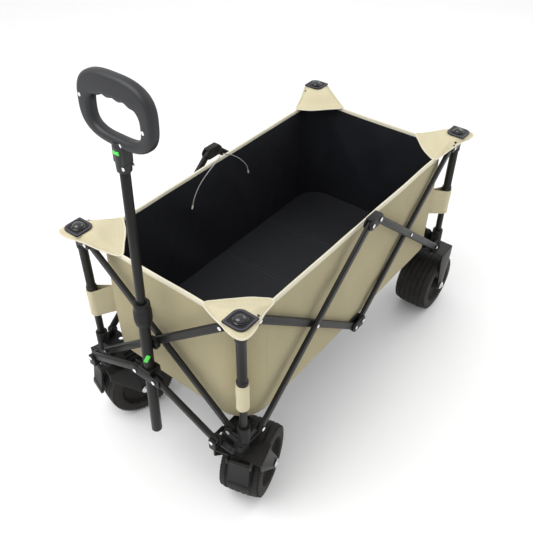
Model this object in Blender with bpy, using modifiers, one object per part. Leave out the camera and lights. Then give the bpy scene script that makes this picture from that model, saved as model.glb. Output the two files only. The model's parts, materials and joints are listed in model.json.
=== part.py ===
"""Folding beach cart: a steel scissor frame with a fabric tub, four wide wheels and a telescopic handle.

Metres, +Z up, wheels standing on z = 0. The handle is at -Y and the cart's own left side is +X.
Frame members are placed from the corner posts: "outboard" is measured away from the cart's
centre, across a post's centre line, and "inboard" towards it.
"""

import math

import bmesh
import bpy
from mathutils import Matrix, Vector

# ---------------------------------------------------------------- driving dimensions
POSTS_ACROSS = 0.460  # corner post centres, side to side
END_PIVOT_INSET = 0.033  # an end bar's pivot, in from the post centre
SIDE_PIVOT_INSET = 0.040  # a side bar's pivot, in from the post centre
HINGE_PITCH = 0.033  # between the two pivots of a middle hinge
BAR_SPAN = POSTS_ACROSS - 2 * END_PIVOT_INSET  # a bar's run along the ground; the same on all sides
BAR_RISE = 0.331  # a bar's climb from its lower to its upper pivot
POSTS_ALONG = 2 * BAR_SPAN + HINGE_PITCH + 2 * SIDE_PIVOT_INSET

LOWER_PIVOT_Z = 0.256
UPPER_PIVOT_Z = LOWER_PIVOT_Z + BAR_RISE
FOLD_ANGLE = math.radians(32)

BAR_DEPTH = 0.020
BAR_THICKNESS = 0.010
BAR_GAP = 0.0015  # between crossing bars
INNER_LAYER = 0.004  # centre of the inner bars, outboard of the post centres
OUTER_LAYER = INNER_LAYER + BAR_THICKNESS + BAR_GAP

PIN_RADIUS = 0.004
PIN_CLEARANCE = 0.0005
HEAD_RADIUS = 0.0068
HEAD_HEIGHT = 0.0022
FACE_GAP = 0.0005  # between a bar and the ear or head beside it
FUSE = 0.0003  # how far shapes of one piece run into each other
EAR_THICKNESS = 0.005
EAR_RADIUS = 0.0120
HINGE_LOBE_RADIUS = 0.0135
HINGE_COVER_THICKNESS = 0.004

LOWER_TUBE_RADIUS = 0.00875
LOWER_TUBE_WALL = 0.00175
LOWER_TUBE_TOP_Z = 0.600
SOCKET_RADIUS = 0.0145
SOCKET_DEPTH = 0.025
BRACKET_PLATE_THICKNESS = 0.005
BRACKET_PLATE_TOP_Z = 0.2425
BRACKET_REACH_ACROSS = 0.060
BRACKET_REACH_ALONG = 0.056
LIGHTENING_HOLE_RADIUS = 0.0065

SLEEVE_RADIUS = 0.01075
SLEEVE_BOTTOM_Z = 0.431
SLIDE_CLEARANCE = 0.0006
CONNECTOR_RADIUS = 0.0130
CONNECTOR_TOP_Z = 0.606
CONNECTOR_HEIGHT = 0.046

CAP_HALF_SIDE = 0.026
CAP_CORNER_RADIUS = 0.018
CAP_THICKNESS = 0.0025
CAP_LIFT = 0.0050  # plate above the connector, where the fabric flap lies
KNOB_RADIUS = 0.0130
KNOB_HEIGHT = 0.0085
CAP_STEM_RADIUS = 0.006

WHEEL_RADIUS = 0.092
WHEEL_WIDTH = 0.102
HUB_WIDTH = 0.109
HUB_RADIUS = 0.016
DISH_RADIUS = 0.056
DISH_DEPTH = 0.002
SHOULDER_RADIAL = 0.009  # the tread's rounded shoulder, measured inwards
SHOULDER_AXIAL = 0.013
AXLE_RADIUS = 0.006
AXLE_CLEARANCE = 0.0006
LEG_GAP = 0.0005  # hub face to fork leg
LEG_THICKNESS = 0.004
AXLE_HEAD_RADIUS = 0.010

KINGPIN_INSET = 0.008  # caster swivel axis, in from the post centre, across
CASTER_TRAIL = 0.061
CASTER_YAW = {"left": math.radians(17), "right": math.radians(-17)}
FORK_TOP_Z = 0.200
FORK_PLATE_FRONT = 0.026
FORK_PLATE_REAR = 0.034
SWIVEL_RACE_RADIUS = 0.017
KINGPIN_RADIUS = 0.005
REAR_WHEEL_INSET = 0.0155
CARRIER_TOP_Z = 0.2285
CARRIER_HALF_LENGTH = 0.033

PEDAL_WIDTH = 0.050
PEDAL_LENGTH = 0.084
PEDAL_THICKNESS = 0.004
PEDAL_LEAN = math.radians(8)
PEDAL_HINGE_Z = 0.186
PEDAL_HINGE_FORWARD = 0.030  # ahead of the kingpin

LINK_OUTER_X = 0.195
LINK_OUTER_Z = 0.273
LINK_INNER_X = 0.029
LINK_INNER_Z = 0.346
LINK_PLANE = 0.0555  # centre of the V links, outboard of the front post centres
LINK_DEPTH = 0.018
LINK_THICKNESS = 0.012
PITCH_AXIS_OUTBOARD = 0.0365
PITCH_AXIS_Z = 0.243
YOKE_RADIUS = 0.009
YOKE_HALF_WIDTH = 0.0095
LUG_THICKNESS = 0.005
YOKE_INNER_X = 0.176
YOKE_OUTER_X = 0.2275

HANDLE_LEAN = math.radians(1.9)  # the handle leans back towards the tub
HANDLE_FOOT_Z = 0.148
HANDLE_FOOT_OUTBOARD = 0.0545
OUTER_TUBE_RADIUS = 0.0125
TUBE_WALL = 0.002
OUTER_TUBE_LENGTH = 0.382
INNER_TUBE_RADIUS = 0.0098
INNER_TUBE_ENGAGED = 0.052
COLLAR_RADIUS = 0.019
COLLAR_HEIGHT = 0.058
COLLAR_OVERLAP = 0.034
GRIP_NECK_Z = 0.862
GRIP_NECK_HEIGHT = 0.060
GRIP_NECK_RADIUS = 0.0145
GRIP_RING_Z = 0.974
GRIP_HALF_WIDTH = 0.0905
GRIP_HALF_HEIGHT = 0.0655
GRIP_THICKNESS = 0.024
GRIP_ROUNDNESS = 0.72  # 1 is an ellipse; smaller is squarer
HAND_HOLE_HALF_WIDTH = 0.060
HAND_HOLE_HALF_HEIGHT = 0.034
HAND_HOLE_DROP = 0.0105  # the hole's middle, below the ring's
HAND_HOLE_ROUNDNESS = 0.62
GRIP_STEPS = 32
BUTTON_WIDTH = 0.012
BUTTON_HEIGHT = 0.007
BUTTON_DEPTH = 0.0045
BUTTON_TRAVEL = 0.003
MOUNT_HALF_WIDTH = 0.044
MOUNT_HEIGHT = 0.026
MOUNT_BLOCK_HALF_WIDTH = 0.0180
MOUNT_BLOCK_HEIGHT = 0.034
REST_PAD_RADIUS = 0.016

TUB_INSET_SIDE = 0.0100  # middle of the side fabric, in from the post centres
TUB_INSET_END = 0.0200
TUB_CORNER_CUT = 0.070
TUB_BOTTOM_Z = 0.268
TUB_TOP_Z = 0.578
FABRIC_THICKNESS = 0.003
FLOOR_THICKNESS = 0.005
PANEL_GAP = 0.001
FLOOR_INSET = 0.0035  # floor edge to the middle of the wall fabric
STRING_RADIUS = 0.0013

ROUND_STEPS = 14
TUBE_STEPS = 16
PIN_STEPS = 8
WHEEL_STEPS = 32

BLACK_STEEL = ("black_steel", (0.012, 0.012, 0.012), 0.38, 0.6)
BLACK_PLASTIC = ("black_plastic", (0.010, 0.010, 0.011), 0.55, 0.0)
BLACK_RUBBER = ("black_rubber", (0.014, 0.014, 0.012), 0.85, 0.0)
KHAKI_CANVAS = ("khaki_canvas", (0.36, 0.33, 0.20), 0.9, 0.0)
BLACK_LINING = ("black_lining", (0.006, 0.007, 0.011), 0.8, 0.0)
GREEN_PLASTIC = ("green_plastic", (0.06, 0.60, 0.03), 0.45, 0.0)
STRING_GREY = ("string_grey", (0.08, 0.08, 0.08), 0.9, 0.0)

SIDES = {"left": 1, "right": -1}
ENDS = {"front": -1, "rear": 1}
PIVOTS = {}


# ---------------------------------------------------------------- scene and placing
def clear_scene():
    for thing in list(bpy.data.objects):
        bpy.data.objects.remove(thing, do_unlink=True)
    parts = bpy.data.collections.new("beach_cart")
    tools = bpy.data.collections.new("shaping_tools")
    bpy.context.scene.collection.children.link(parts)
    bpy.context.scene.collection.children.link(tools)
    return parts, tools


PARTS, TOOLS = clear_scene()


def pivot(name, place, parent=None):
    """An empty on a joint's axis; what hangs on it turns about its origin."""
    empty = bpy.data.objects.new("pivot_" + name, None)
    empty.empty_display_size = 0.02
    PARTS.objects.link(empty)
    place = Vector(place)
    if parent:
        empty.parent = PIVOTS[parent][0]
        empty.location = place - PIVOTS[parent][1]
    else:
        empty.location = place
    PIVOTS[name] = (empty, place)


def material(look):
    name, colour, roughness, metallic = look
    made = bpy.data.materials.get(name)
    if made is None:
        made = bpy.data.materials.new(name)
        made.use_nodes = True
        shader = made.node_tree.nodes["Principled BSDF"]
        shader.inputs["Base Color"].default_value = (*colour, 1)
        shader.inputs["Roughness"].default_value = roughness
        shader.inputs["Metallic"].default_value = metallic
        made.diffuse_color = (*colour, 1)
    return made


def helper(name, mesh, frame=None):
    """A shape that is not yet a part: it can become one, or shape another."""
    shape = bpy.data.objects.new(name, mesh)
    shape.display_type = "WIRE"
    shape.hide_render = True
    shape.matrix_basis = frame or Matrix()
    TOOLS.objects.link(shape)
    return shape


def part(shape, name, look, pivot_name):
    """Turns a shape into a named part of the cart, riding on a pivot."""
    TOOLS.objects.unlink(shape)
    PARTS.objects.link(shape)
    shape.name = name
    shape.hide_render = False
    shape.display_type = "TEXTURED"
    shape.data.materials.clear()
    shape.data.materials.append(material(look))
    shape.data.shade_smooth()
    shape.data.set_sharp_from_angle(angle=math.radians(32))
    empty, place = PIVOTS[pivot_name]
    shape.parent = empty
    shape.location = shape.location - place
    return shape


def shaped(base, operation, tools):
    for tool in tools:
        step = base.modifiers.new(f"{operation.lower()}_{tool.name}", "BOOLEAN")
        step.operation = operation
        step.object = tool
        tool.parent = base
        tool.matrix_parent_inverse = base.matrix_basis.inverted()
    return base


def united(base, *tools):
    return shaped(base, "UNION", tools)


def cut(base, *tools):
    return shaped(base, "DIFFERENCE", tools)


def frame_of(origin, x_axis, z_axis):
    """A placing matrix with local X along x_axis and local Z along z_axis."""
    x_axis = Vector(x_axis).normalized()
    z_axis = Vector(z_axis).normalized()
    y_axis = z_axis.cross(x_axis)
    turn = Matrix((x_axis, y_axis, z_axis)).transposed().to_4x4()
    return Matrix.Translation(Vector(origin)) @ turn


def along(direction, origin):
    """A placing matrix with local Z along a direction."""
    return Matrix.Translation(Vector(origin)) @ Vector(direction).to_track_quat("Z", "Y").to_matrix().to_4x4()


# ---------------------------------------------------------------- basic shapes
def block(name, corner_a, corner_b, bevel=0.0):
    low = Vector(map(min, corner_a, corner_b))
    high = Vector(map(max, corner_a, corner_b))
    build = bmesh.new()
    bmesh.ops.create_cube(build, size=1)
    bmesh.ops.scale(build, vec=high - low, verts=build.verts)
    if bevel:
        bmesh.ops.bevel(build, geom=build.edges, offset=bevel, segments=1, affect="EDGES")
    mesh = bpy.data.meshes.new(name)
    build.to_mesh(mesh)
    build.free()
    return helper(name, mesh, Matrix.Translation((low + high) / 2))


def rod(name, start, end, radius, steps=ROUND_STEPS):
    start, end = Vector(start), Vector(end)
    build = bmesh.new()
    bmesh.ops.create_cone(
        build, cap_ends=True, segments=steps, radius1=radius, radius2=radius, depth=(end - start).length
    )
    mesh = bpy.data.meshes.new(name)
    build.to_mesh(mesh)
    build.free()
    return helper(name, mesh, along(end - start, (start + end) / 2))


def turned(name, profile, frame, steps=ROUND_STEPS, closed=False):
    """A profile of (radius, height) points, run down its outer side, turned about local Z."""
    mesh = bpy.data.meshes.new(name)
    edges = [(i, i + 1) for i in range(len(profile) - 1)]
    if closed:
        edges.append((len(profile) - 1, 0))
    mesh.from_pydata([(radius, 0, height) for radius, height in profile], edges, [])
    shape = helper(name, mesh, frame)
    spin = shape.modifiers.new("turn", "SCREW")
    spin.axis = "Z"
    spin.steps = spin.render_steps = steps
    spin.use_merge_vertices = True
    spin.merge_threshold = 1e-5
    return shape


def arc(centre, radius, start, end, steps):
    """Points on an arc, angles in degrees."""
    angles = [math.radians(start + (end - start) * i / steps) for i in range(steps + 1)]
    return [(centre[0] + radius * math.cos(a), centre[1] + radius * math.sin(a)) for a in angles]


def circle(centre, radius, steps=12):
    return arc(centre, radius, 0, 360, steps)[:-1]


def capsule(length, radius, steps=6):
    return arc((0, 0), radius, 90, 270, steps) + arc((length, 0), radius, -90, 90, steps)


def plate(name, loops, thickness, frame):
    """A flat outline with holes, centred on the frame's XY plane."""
    curve = bpy.data.curves.new(name, "CURVE")
    curve.dimensions = "2D"
    curve.fill_mode = "BOTH"
    curve.extrude = thickness / 2
    for loop in loops:
        spline = curve.splines.new("POLY")
        spline.points.add(len(loop) - 1)
        for point, (x, y) in zip(spline.points, loop):
            point.co = (x, y, 0, 1)
        spline.use_cyclic_u = True
    return curve_to_mesh(name, curve, frame)


def curve_to_mesh(name, curve, frame):
    stand_in = bpy.data.objects.new(name, curve)
    TOOLS.objects.link(stand_in)
    graph = bpy.context.evaluated_depsgraph_get()
    mesh = bpy.data.meshes.new_from_object(stand_in.evaluated_get(graph))
    bpy.data.objects.remove(stand_in)
    bpy.data.curves.remove(curve)
    build = bmesh.new()
    build.from_mesh(mesh)
    bmesh.ops.remove_doubles(build, verts=build.verts, dist=1e-6)
    bmesh.ops.recalc_face_normals(build, faces=build.faces)
    build.to_mesh(mesh)
    build.free()
    return helper(name, mesh, frame)


def wire(name, points, radius, closed=False):
    """A round bar along points."""
    curve = bpy.data.curves.new(name, "CURVE")
    curve.dimensions = "3D"
    curve.bevel_depth = radius
    curve.bevel_resolution = 1
    curve.use_fill_caps = not closed
    spline = curve.splines.new("POLY")
    spline.points.add(len(points) - 1)
    for point, place in zip(spline.points, points):
        point.co = (*place, 1)
    spline.use_cyclic_u = closed
    return curve_to_mesh(name, curve, Matrix())


# ---------------------------------------------------------------- where things stand
def post_x(side, inset=0.0):
    """Across the cart: a corner post's centre line, or a place in from it."""
    return SIDES[side] * (POSTS_ACROSS / 2 - inset)


def post_y(end, inset=0.0):
    return ENDS[end] * (POSTS_ALONG / 2 - inset)


def ear_range(layer):
    """Outboard span of the ear that stands beside a bar: inside an outer bar, outside an inner one."""
    if layer == OUTER_LAYER:
        high = layer - BAR_THICKNESS / 2 - FACE_GAP
        return high - EAR_THICKNESS, high
    low = layer + BAR_THICKNESS / 2 + FACE_GAP
    return low, low + EAR_THICKNESS


def rivet_range(layer):
    """Outboard span of the rivet that joins that ear to its bar, over both heads."""
    low, high = ear_range(layer)
    if layer == OUTER_LAYER:
        return low - HEAD_HEIGHT + FUSE, layer + BAR_THICKNESS / 2 + FACE_GAP + HEAD_HEIGHT
    return layer - BAR_THICKNESS / 2 - FACE_GAP - HEAD_HEIGHT, high + HEAD_HEIGHT - FUSE


def rivet(name, origin, direction, low, high):
    """A pin with a head at each end, its ends at low and high along the direction from the origin."""
    profile = [
        (0, high),
        (HEAD_RADIUS, high),
        (HEAD_RADIUS, high - HEAD_HEIGHT),
        (PIN_RADIUS, high - HEAD_HEIGHT),
        (PIN_RADIUS, low + HEAD_HEIGHT),
        (HEAD_RADIUS, low + HEAD_HEIGHT),
        (HEAD_RADIUS, low),
        (0, low),
    ]
    return turned(name, profile, along(direction, origin), steps=PIN_STEPS)


def side_point(side, outboard, y, z):
    return Vector((SIDES[side] * (POSTS_ACROSS / 2 + outboard), y, z))


def end_point(end, outboard, x, z):
    return Vector((x, ENDS[end] * (POSTS_ALONG / 2 + outboard), z))


# ---------------------------------------------------------------- scissor bars
def bar(name, start, end, normal, layer, pivot_name, carries_pin, *extras):
    """A flat-sided tube between two pivots. The outer bar of a crossing carries the crossing's rivet."""
    start, end = Vector(start), Vector(end)
    length = (end - start).length
    hole = PIN_RADIUS + PIN_CLEARANCE
    loops = [capsule(length, BAR_DEPTH / 2), circle((0, 0), hole), circle((length, 0), hole)]
    if not carries_pin:
        loops.append(circle((length / 2, 0), hole))
    shape = plate(name, loops, BAR_THICKNESS, frame_of(start, end - start, normal))
    if carries_pin:
        middle = (start + end) / 2 - Vector(normal) * layer
        low = INNER_LAYER - BAR_THICKNESS / 2 - FACE_GAP - HEAD_HEIGHT
        high = layer + BAR_THICKNESS / 2 + HEAD_HEIGHT - FUSE
        united(shape, rivet(name + "_rivet", middle, normal, low, high))
    united(shape, *extras)
    return part(shape, name, BLACK_STEEL, pivot_name)


def side_bars(side):
    """Two crossings between the corner posts, joined by hinges at the middle."""
    normal = (SIDES[side], 0, 0)
    front = post_y("front", SIDE_PIVOT_INSET)
    rear = post_y("rear", SIDE_PIVOT_INSET)
    middle = HINGE_PITCH / 2

    def at(layer, y, z):
        return side_point(side, layer, y, z)

    low, high = LOWER_PIVOT_Z, UPPER_PIVOT_Z
    bar(f"side_bar_{side}_1_outer", at(OUTER_LAYER, front, low), at(OUTER_LAYER, -middle, high),
        normal, OUTER_LAYER, f"side_{side}_1_outer", True)
    bar(f"side_bar_{side}_1_inner", at(INNER_LAYER, front, high), at(INNER_LAYER, -middle, low),
        normal, INNER_LAYER, f"side_{side}_1_inner", False)
    bar(f"side_bar_{side}_2_outer", at(OUTER_LAYER, middle, high), at(OUTER_LAYER, rear, low),
        normal, OUTER_LAYER, f"side_{side}_2_outer", True)
    bar(f"side_bar_{side}_2_inner", at(INNER_LAYER, middle, low), at(INNER_LAYER, rear, high),
        normal, INNER_LAYER, f"side_{side}_2_inner", False)


def end_bars(end):
    """One crossing between the two corner posts of an end. The outer bar falls from left to right."""
    normal = (0, ENDS[end], 0)
    left = post_x("left", END_PIVOT_INSET)
    right = post_x("right", END_PIVOT_INSET)
    pads = [handle_rest_pad()] if end == "front" else []
    bar(f"{end}_bar_outer", end_point(end, OUTER_LAYER, left, UPPER_PIVOT_Z),
        end_point(end, OUTER_LAYER, right, LOWER_PIVOT_Z), normal, OUTER_LAYER,
        f"{end}_outer", True, *pads)
    bar(f"{end}_bar_inner", end_point(end, INNER_LAYER, left, LOWER_PIVOT_Z),
        end_point(end, INNER_LAYER, right, UPPER_PIVOT_Z), normal, INNER_LAYER,
        f"{end}_inner", False)


def handle_rest_pad():
    """The knob on the front crossing that the upright handle leans on."""
    middle_z = (LOWER_PIVOT_Z + UPPER_PIVOT_Z) / 2
    near = end_point("front", OUTER_LAYER + BAR_THICKNESS / 2 - FUSE, 0, middle_z)
    far = end_point("front", handle_back_at(middle_z) - FACE_GAP, 0, middle_z)
    return rod("handle_rest_pad", near, far, REST_PAD_RADIUS)


def end_layer(side, level):
    """Which layer an end bar has at this corner: the left one starts high in the outer layer."""
    return OUTER_LAYER if (side == "left") == (level == "top") else INNER_LAYER


def middle_hinge(side, level):
    """The moulded knuckle that joins the two crossings of a side, at the top or the bottom."""
    layer = OUTER_LAYER if level == "top" else INNER_LAYER
    z = UPPER_PIVOT_Z if level == "top" else LOWER_PIVOT_Z
    up = 1 if level == "top" else -1
    bar_low, bar_high = layer - BAR_THICKNESS / 2, layer + BAR_THICKNESS / 2
    inner = (bar_low - FACE_GAP - HINGE_COVER_THICKNESS, bar_low - FACE_GAP)
    outer = (bar_high + FACE_GAP, bar_high + FACE_GAP + HINGE_COVER_THICKNESS)
    normal = (SIDES[side], 0, 0)
    middle = HINGE_PITCH / 2

    def cover(label, span):
        centre = side_point(side, sum(span) / 2, -middle, z)
        return plate(label, [capsule(HINGE_PITCH, HINGE_LOBE_RADIUS)], span[1] - span[0],
                     frame_of(centre, (0, 1, 0), normal))

    bridge_low = z + up * (BAR_DEPTH / 2 + FACE_GAP)
    bridge_high = z + up * (HINGE_LOBE_RADIUS + 0.002)
    bridge = block("bridge", side_point(side, inner[0], -middle - 0.004, bridge_low),
                   side_point(side, outer[1], middle + 0.004, bridge_high))
    pins = [
        rivet("hinge_rivet", side_point(side, 0, y, z), normal,
              inner[0] - HEAD_HEIGHT + FUSE, outer[1] + HEAD_HEIGHT - FUSE)
        for y in (-middle, middle)
    ]
    shape = united(cover("inner_cover", inner), cover("outer_cover", outer), bridge, *pins)
    return part(shape, f"middle_hinge_{side}_{level}", BLACK_PLASTIC, f"hinge_{side}_{level}")


# ---------------------------------------------------------------- corner posts
def ears(side, end, level):
    """The ears and rivets of a corner piece: one for its side bar, one for its end bar."""
    z = UPPER_PIVOT_Z if level == "top" else LOWER_PIVOT_Z
    side_layer = INNER_LAYER if level == "top" else OUTER_LAYER
    last_layer = end_layer(side, level)
    y = post_y(end, SIDE_PIVOT_INSET)
    x = post_x(side, END_PIVOT_INSET)
    x_normal = (SIDES[side], 0, 0)
    y_normal = (0, ENDS[end], 0)
    foot = z - EAR_RADIUS + 0.002 if level == "top" else BRACKET_PLATE_TOP_Z - 0.001
    head = CONNECTOR_TOP_Z - 0.002 if level == "top" else z + 0.006
    made = []
    low, high = ear_range(side_layer)
    made.append(rod("ear_disc", side_point(side, low, y, z), side_point(side, high, y, z), EAR_RADIUS))
    made.append(block("ear_arm", side_point(side, low, y, foot), side_point(side, high, post_y(end, 0.002), head)))
    made.append(rivet("ear_rivet", side_point(side, 0, y, z), x_normal, *rivet_range(side_layer)))
    low, high = ear_range(last_layer)
    made.append(rod("ear_disc", end_point(end, low, x, z), end_point(end, high, x, z), EAR_RADIUS))
    made.append(block("ear_arm", end_point(end, low, x, foot), end_point(end, high, post_x(side, 0.002), head)))
    made.append(rivet("ear_rivet", end_point(end, 0, x, z), y_normal, *rivet_range(last_layer)))
    return made


def lower_bracket(side, end):
    """The foot of a corner: socket for the post, ears for the bars and a boss for the wheel below."""
    x, y = post_x(side), post_y(end)
    top, bottom = BRACKET_PLATE_TOP_Z, BRACKET_PLATE_TOP_Z - BRACKET_PLATE_THICKNESS
    front_room = 0.0150
    base = block(
        "base_plate",
        (post_x(side, -front_room), post_y(end, -front_room), bottom),
        (post_x(side, BRACKET_REACH_ACROSS), post_y(end, BRACKET_REACH_ALONG), top),
        bevel=0.0012,
    )
    socket_top = top + SOCKET_DEPTH + 0.022
    united(base, rod("socket", (x, y, bottom + 0.001), (x, y, socket_top), SOCKET_RADIUS, TUBE_STEPS))
    united(base, *ears(side, end, "bottom"))
    bore_floor = top + 0.0225
    cut(base, rod("socket_bore", (x, y, bore_floor), (x, y, socket_top + 0.01),
                  LOWER_TUBE_RADIUS + FACE_GAP, TUBE_STEPS))
    holes = [
        rod("lightening_hole", (post_x(side, across), post_y(end, inboard), bottom - 0.01),
            (post_x(side, across), post_y(end, inboard), top + 0.01), LIGHTENING_HOLE_RADIUS, 12)
        for across, inboard in ((0.036, 0.030), (0.016, 0.042))
    ]
    cut(base, *holes)
    if end == "front":
        united(base, *swivel_boss(side), *yoke_lugs(side))
    else:
        boss = rod("carrier_boss", (x, y, CARRIER_TOP_Z + FACE_GAP), (x, y, bottom + 0.001), SOCKET_RADIUS)
        united(base, boss)
    return part(base, f"lower_bracket_{end}_{side}", BLACK_PLASTIC, f"corner_{end}_{side}")


def swivel_boss(side):
    """The boss and kingpin that a caster turns on."""
    x, y = post_x(side, KINGPIN_INSET), post_y("front")
    race_top = BRACKET_PLATE_TOP_Z - BRACKET_PLATE_THICKNESS - 0.010
    boss = rod("boss", (x, y, race_top), (x, y, BRACKET_PLATE_TOP_Z - 0.001), SWIVEL_RACE_RADIUS - 0.001)
    fork_bottom = FORK_TOP_Z - LEG_THICKNESS
    profile = [
        (0, race_top + 0.002),
        (KINGPIN_RADIUS, race_top + 0.002),
        (KINGPIN_RADIUS, fork_bottom - FACE_GAP),
        (KINGPIN_RADIUS + 0.004, fork_bottom - FACE_GAP),
        (KINGPIN_RADIUS + 0.004, fork_bottom - FACE_GAP - 0.004),
        (0, fork_bottom - FACE_GAP - 0.004),
    ]
    return [boss, turned("kingpin", profile, Matrix.Translation((x, y, 0)), 12)]


def yoke_lugs(side):
    """Lugs for the V link's yoke. The right one is open outboard, where the linkage is left open."""
    y = post_y("front", -PITCH_AXIS_OUTBOARD)
    sign = SIDES[side]
    edge = post_y("front", -0.0145)
    made = []
    spans = [(YOKE_INNER_X - FACE_GAP - LUG_THICKNESS, YOKE_INNER_X - FACE_GAP)]
    if side == "left":
        spans.append((YOKE_OUTER_X + FACE_GAP, YOKE_OUTER_X + FACE_GAP + LUG_THICKNESS))
    for near, far in spans:
        made.append(rod("lug", (sign * near, y, PITCH_AXIS_Z), (sign * far, y, PITCH_AXIS_Z), YOKE_RADIUS))
        bottom = BRACKET_PLATE_TOP_Z - BRACKET_PLATE_THICKNESS
        made.append(block("lug_arm", (sign * near, y, bottom + 0.0003),
                          (sign * far, edge + 0.010, PITCH_AXIS_Z + 0.005)))
    inner = spans[0][0]
    outer = spans[-1][1] if side == "left" else YOKE_OUTER_X
    made.append(rod("pitch_pin", (sign * (inner + 0.001), y, PITCH_AXIS_Z),
                    (sign * (outer - 0.001), y, PITCH_AXIS_Z), PIN_RADIUS, 12))
    return made


def lower_tube(side, end):
    bottom = BRACKET_PLATE_TOP_Z + 0.0225 + FACE_GAP
    bore = LOWER_TUBE_RADIUS - LOWER_TUBE_WALL
    profile = [
        (bore, LOWER_TUBE_TOP_Z),
        (LOWER_TUBE_RADIUS, LOWER_TUBE_TOP_Z),
        (LOWER_TUBE_RADIUS, bottom),
        (bore, bottom),
    ]
    place = Matrix.Translation((post_x(side), post_y(end), 0))
    shape = turned("tube", profile, place, TUBE_STEPS, closed=True)
    return part(shape, f"lower_post_tube_{end}_{side}", BLACK_STEEL, f"corner_{end}_{side}")


def upper_post(side, end):
    """The sleeve that slides on the lower tube, with the moulded connector on its top."""
    ring_bottom = CONNECTOR_TOP_Z - CONNECTOR_HEIGHT
    profile = [
        (0, CONNECTOR_TOP_Z),
        (CONNECTOR_RADIUS - 0.001, CONNECTOR_TOP_Z),
        (CONNECTOR_RADIUS, CONNECTOR_TOP_Z - 0.001),
        (CONNECTOR_RADIUS, ring_bottom),
        (SLEEVE_RADIUS, ring_bottom - 0.0015),
        (SLEEVE_RADIUS, SLEEVE_BOTTOM_Z + 0.012),
        (SLEEVE_RADIUS + 0.0015, SLEEVE_BOTTOM_Z + 0.011),
        (SLEEVE_RADIUS + 0.0015, SLEEVE_BOTTOM_Z),
        (0, SLEEVE_BOTTOM_Z),
    ]
    shape = turned("sleeve", profile, Matrix.Translation((post_x(side), post_y(end), 0)), TUBE_STEPS)
    united(shape, *ears(side, end, "top"))
    axis = (post_x(side), post_y(end))
    cut(shape, rod("sleeve_bore", (*axis, SLEEVE_BOTTOM_Z - 0.01), (*axis, LOWER_TUBE_TOP_Z + 0.002),
                   LOWER_TUBE_RADIUS + SLIDE_CLEARANCE, TUBE_STEPS))
    cut(shape, rod("stem_seat", (*axis, CONNECTOR_TOP_Z - 0.0016), (*axis, CONNECTOR_TOP_Z + 0.01),
                   CAP_STEM_RADIUS + FACE_GAP, 12))
    return part(shape, f"upper_post_{end}_{side}", BLACK_STEEL, f"post_{end}_{side}")


def corner_cap(side, end):
    """A square plate with two rounded corners, a domed knob on it and a stem through the fabric."""
    x, y = post_x(side), post_y(end)
    half, round_off = CAP_HALF_SIDE, CAP_CORNER_RADIUS
    inset = half - round_off
    outline = [(half, -half), *arc((inset, inset), round_off, 0, 90, 4), (-half, half),
               *arc((-inset, -inset), round_off, 180, 270, 4)]
    bottom = CONNECTOR_TOP_Z + CAP_LIFT
    turn = frame_of((x, y, bottom + CAP_THICKNESS / 2), (SIDES[side], 0, 0), (0, 0, SIDES[side] * ENDS[end]))
    shape = plate("cap_plate", [outline], CAP_THICKNESS, turn)
    top = bottom + CAP_THICKNESS
    dome = [
        (KNOB_RADIUS * math.cos(math.radians(a)), top + KNOB_HEIGHT * math.sin(math.radians(a)))
        for a in range(90, -1, -18)
    ]
    dome[0] = (0, top + KNOB_HEIGHT)
    profile = [*dome, (KNOB_RADIUS, bottom + 0.0005), (CAP_STEM_RADIUS, bottom + 0.0005),
               (CAP_STEM_RADIUS, CONNECTOR_TOP_Z - 0.0010), (0, CONNECTOR_TOP_Z - 0.0010)]
    united(shape, turned("cap_knob", profile, Matrix.Translation((x, y, 0))))
    return part(shape, f"corner_cap_{end}_{side}", BLACK_PLASTIC, f"post_{end}_{side}")


# ---------------------------------------------------------------- wheels
def wheel(name, centre, axle, pivot_name):
    """A wide soft-ground wheel: a rounded tread, a dished face and a hub."""
    half = WHEEL_WIDTH / 2
    hub = HUB_WIDTH / 2
    bore = AXLE_RADIUS + AXLE_CLEARANCE
    face = [
        (bore, hub),
        (HUB_RADIUS, hub),
        (HUB_RADIUS, half - DISH_DEPTH),
        (DISH_RADIUS, half - DISH_DEPTH),
        (DISH_RADIUS + DISH_DEPTH, half),
        (WHEEL_RADIUS - SHOULDER_RADIAL, half),
        (WHEEL_RADIUS, half - SHOULDER_AXIAL),
    ]
    profile = face + [(radius, -height) for radius, height in reversed(face)]
    shape = turned(name, profile, along(axle, centre), WHEEL_STEPS, closed=True)
    return part(shape, name, BLACK_RUBBER, pivot_name)


def leg(name, centre, across, rearward, offset, outline):
    """A flat leg whose outline is given as (rearward, height) from the axle's plan position."""
    origin = Vector(centre) + Vector(across) * offset
    origin.z = 0
    return plate(name, [outline], LEG_THICKNESS, frame_of(origin, rearward, Vector(rearward).cross(Vector((0, 0, 1)))))


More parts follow.
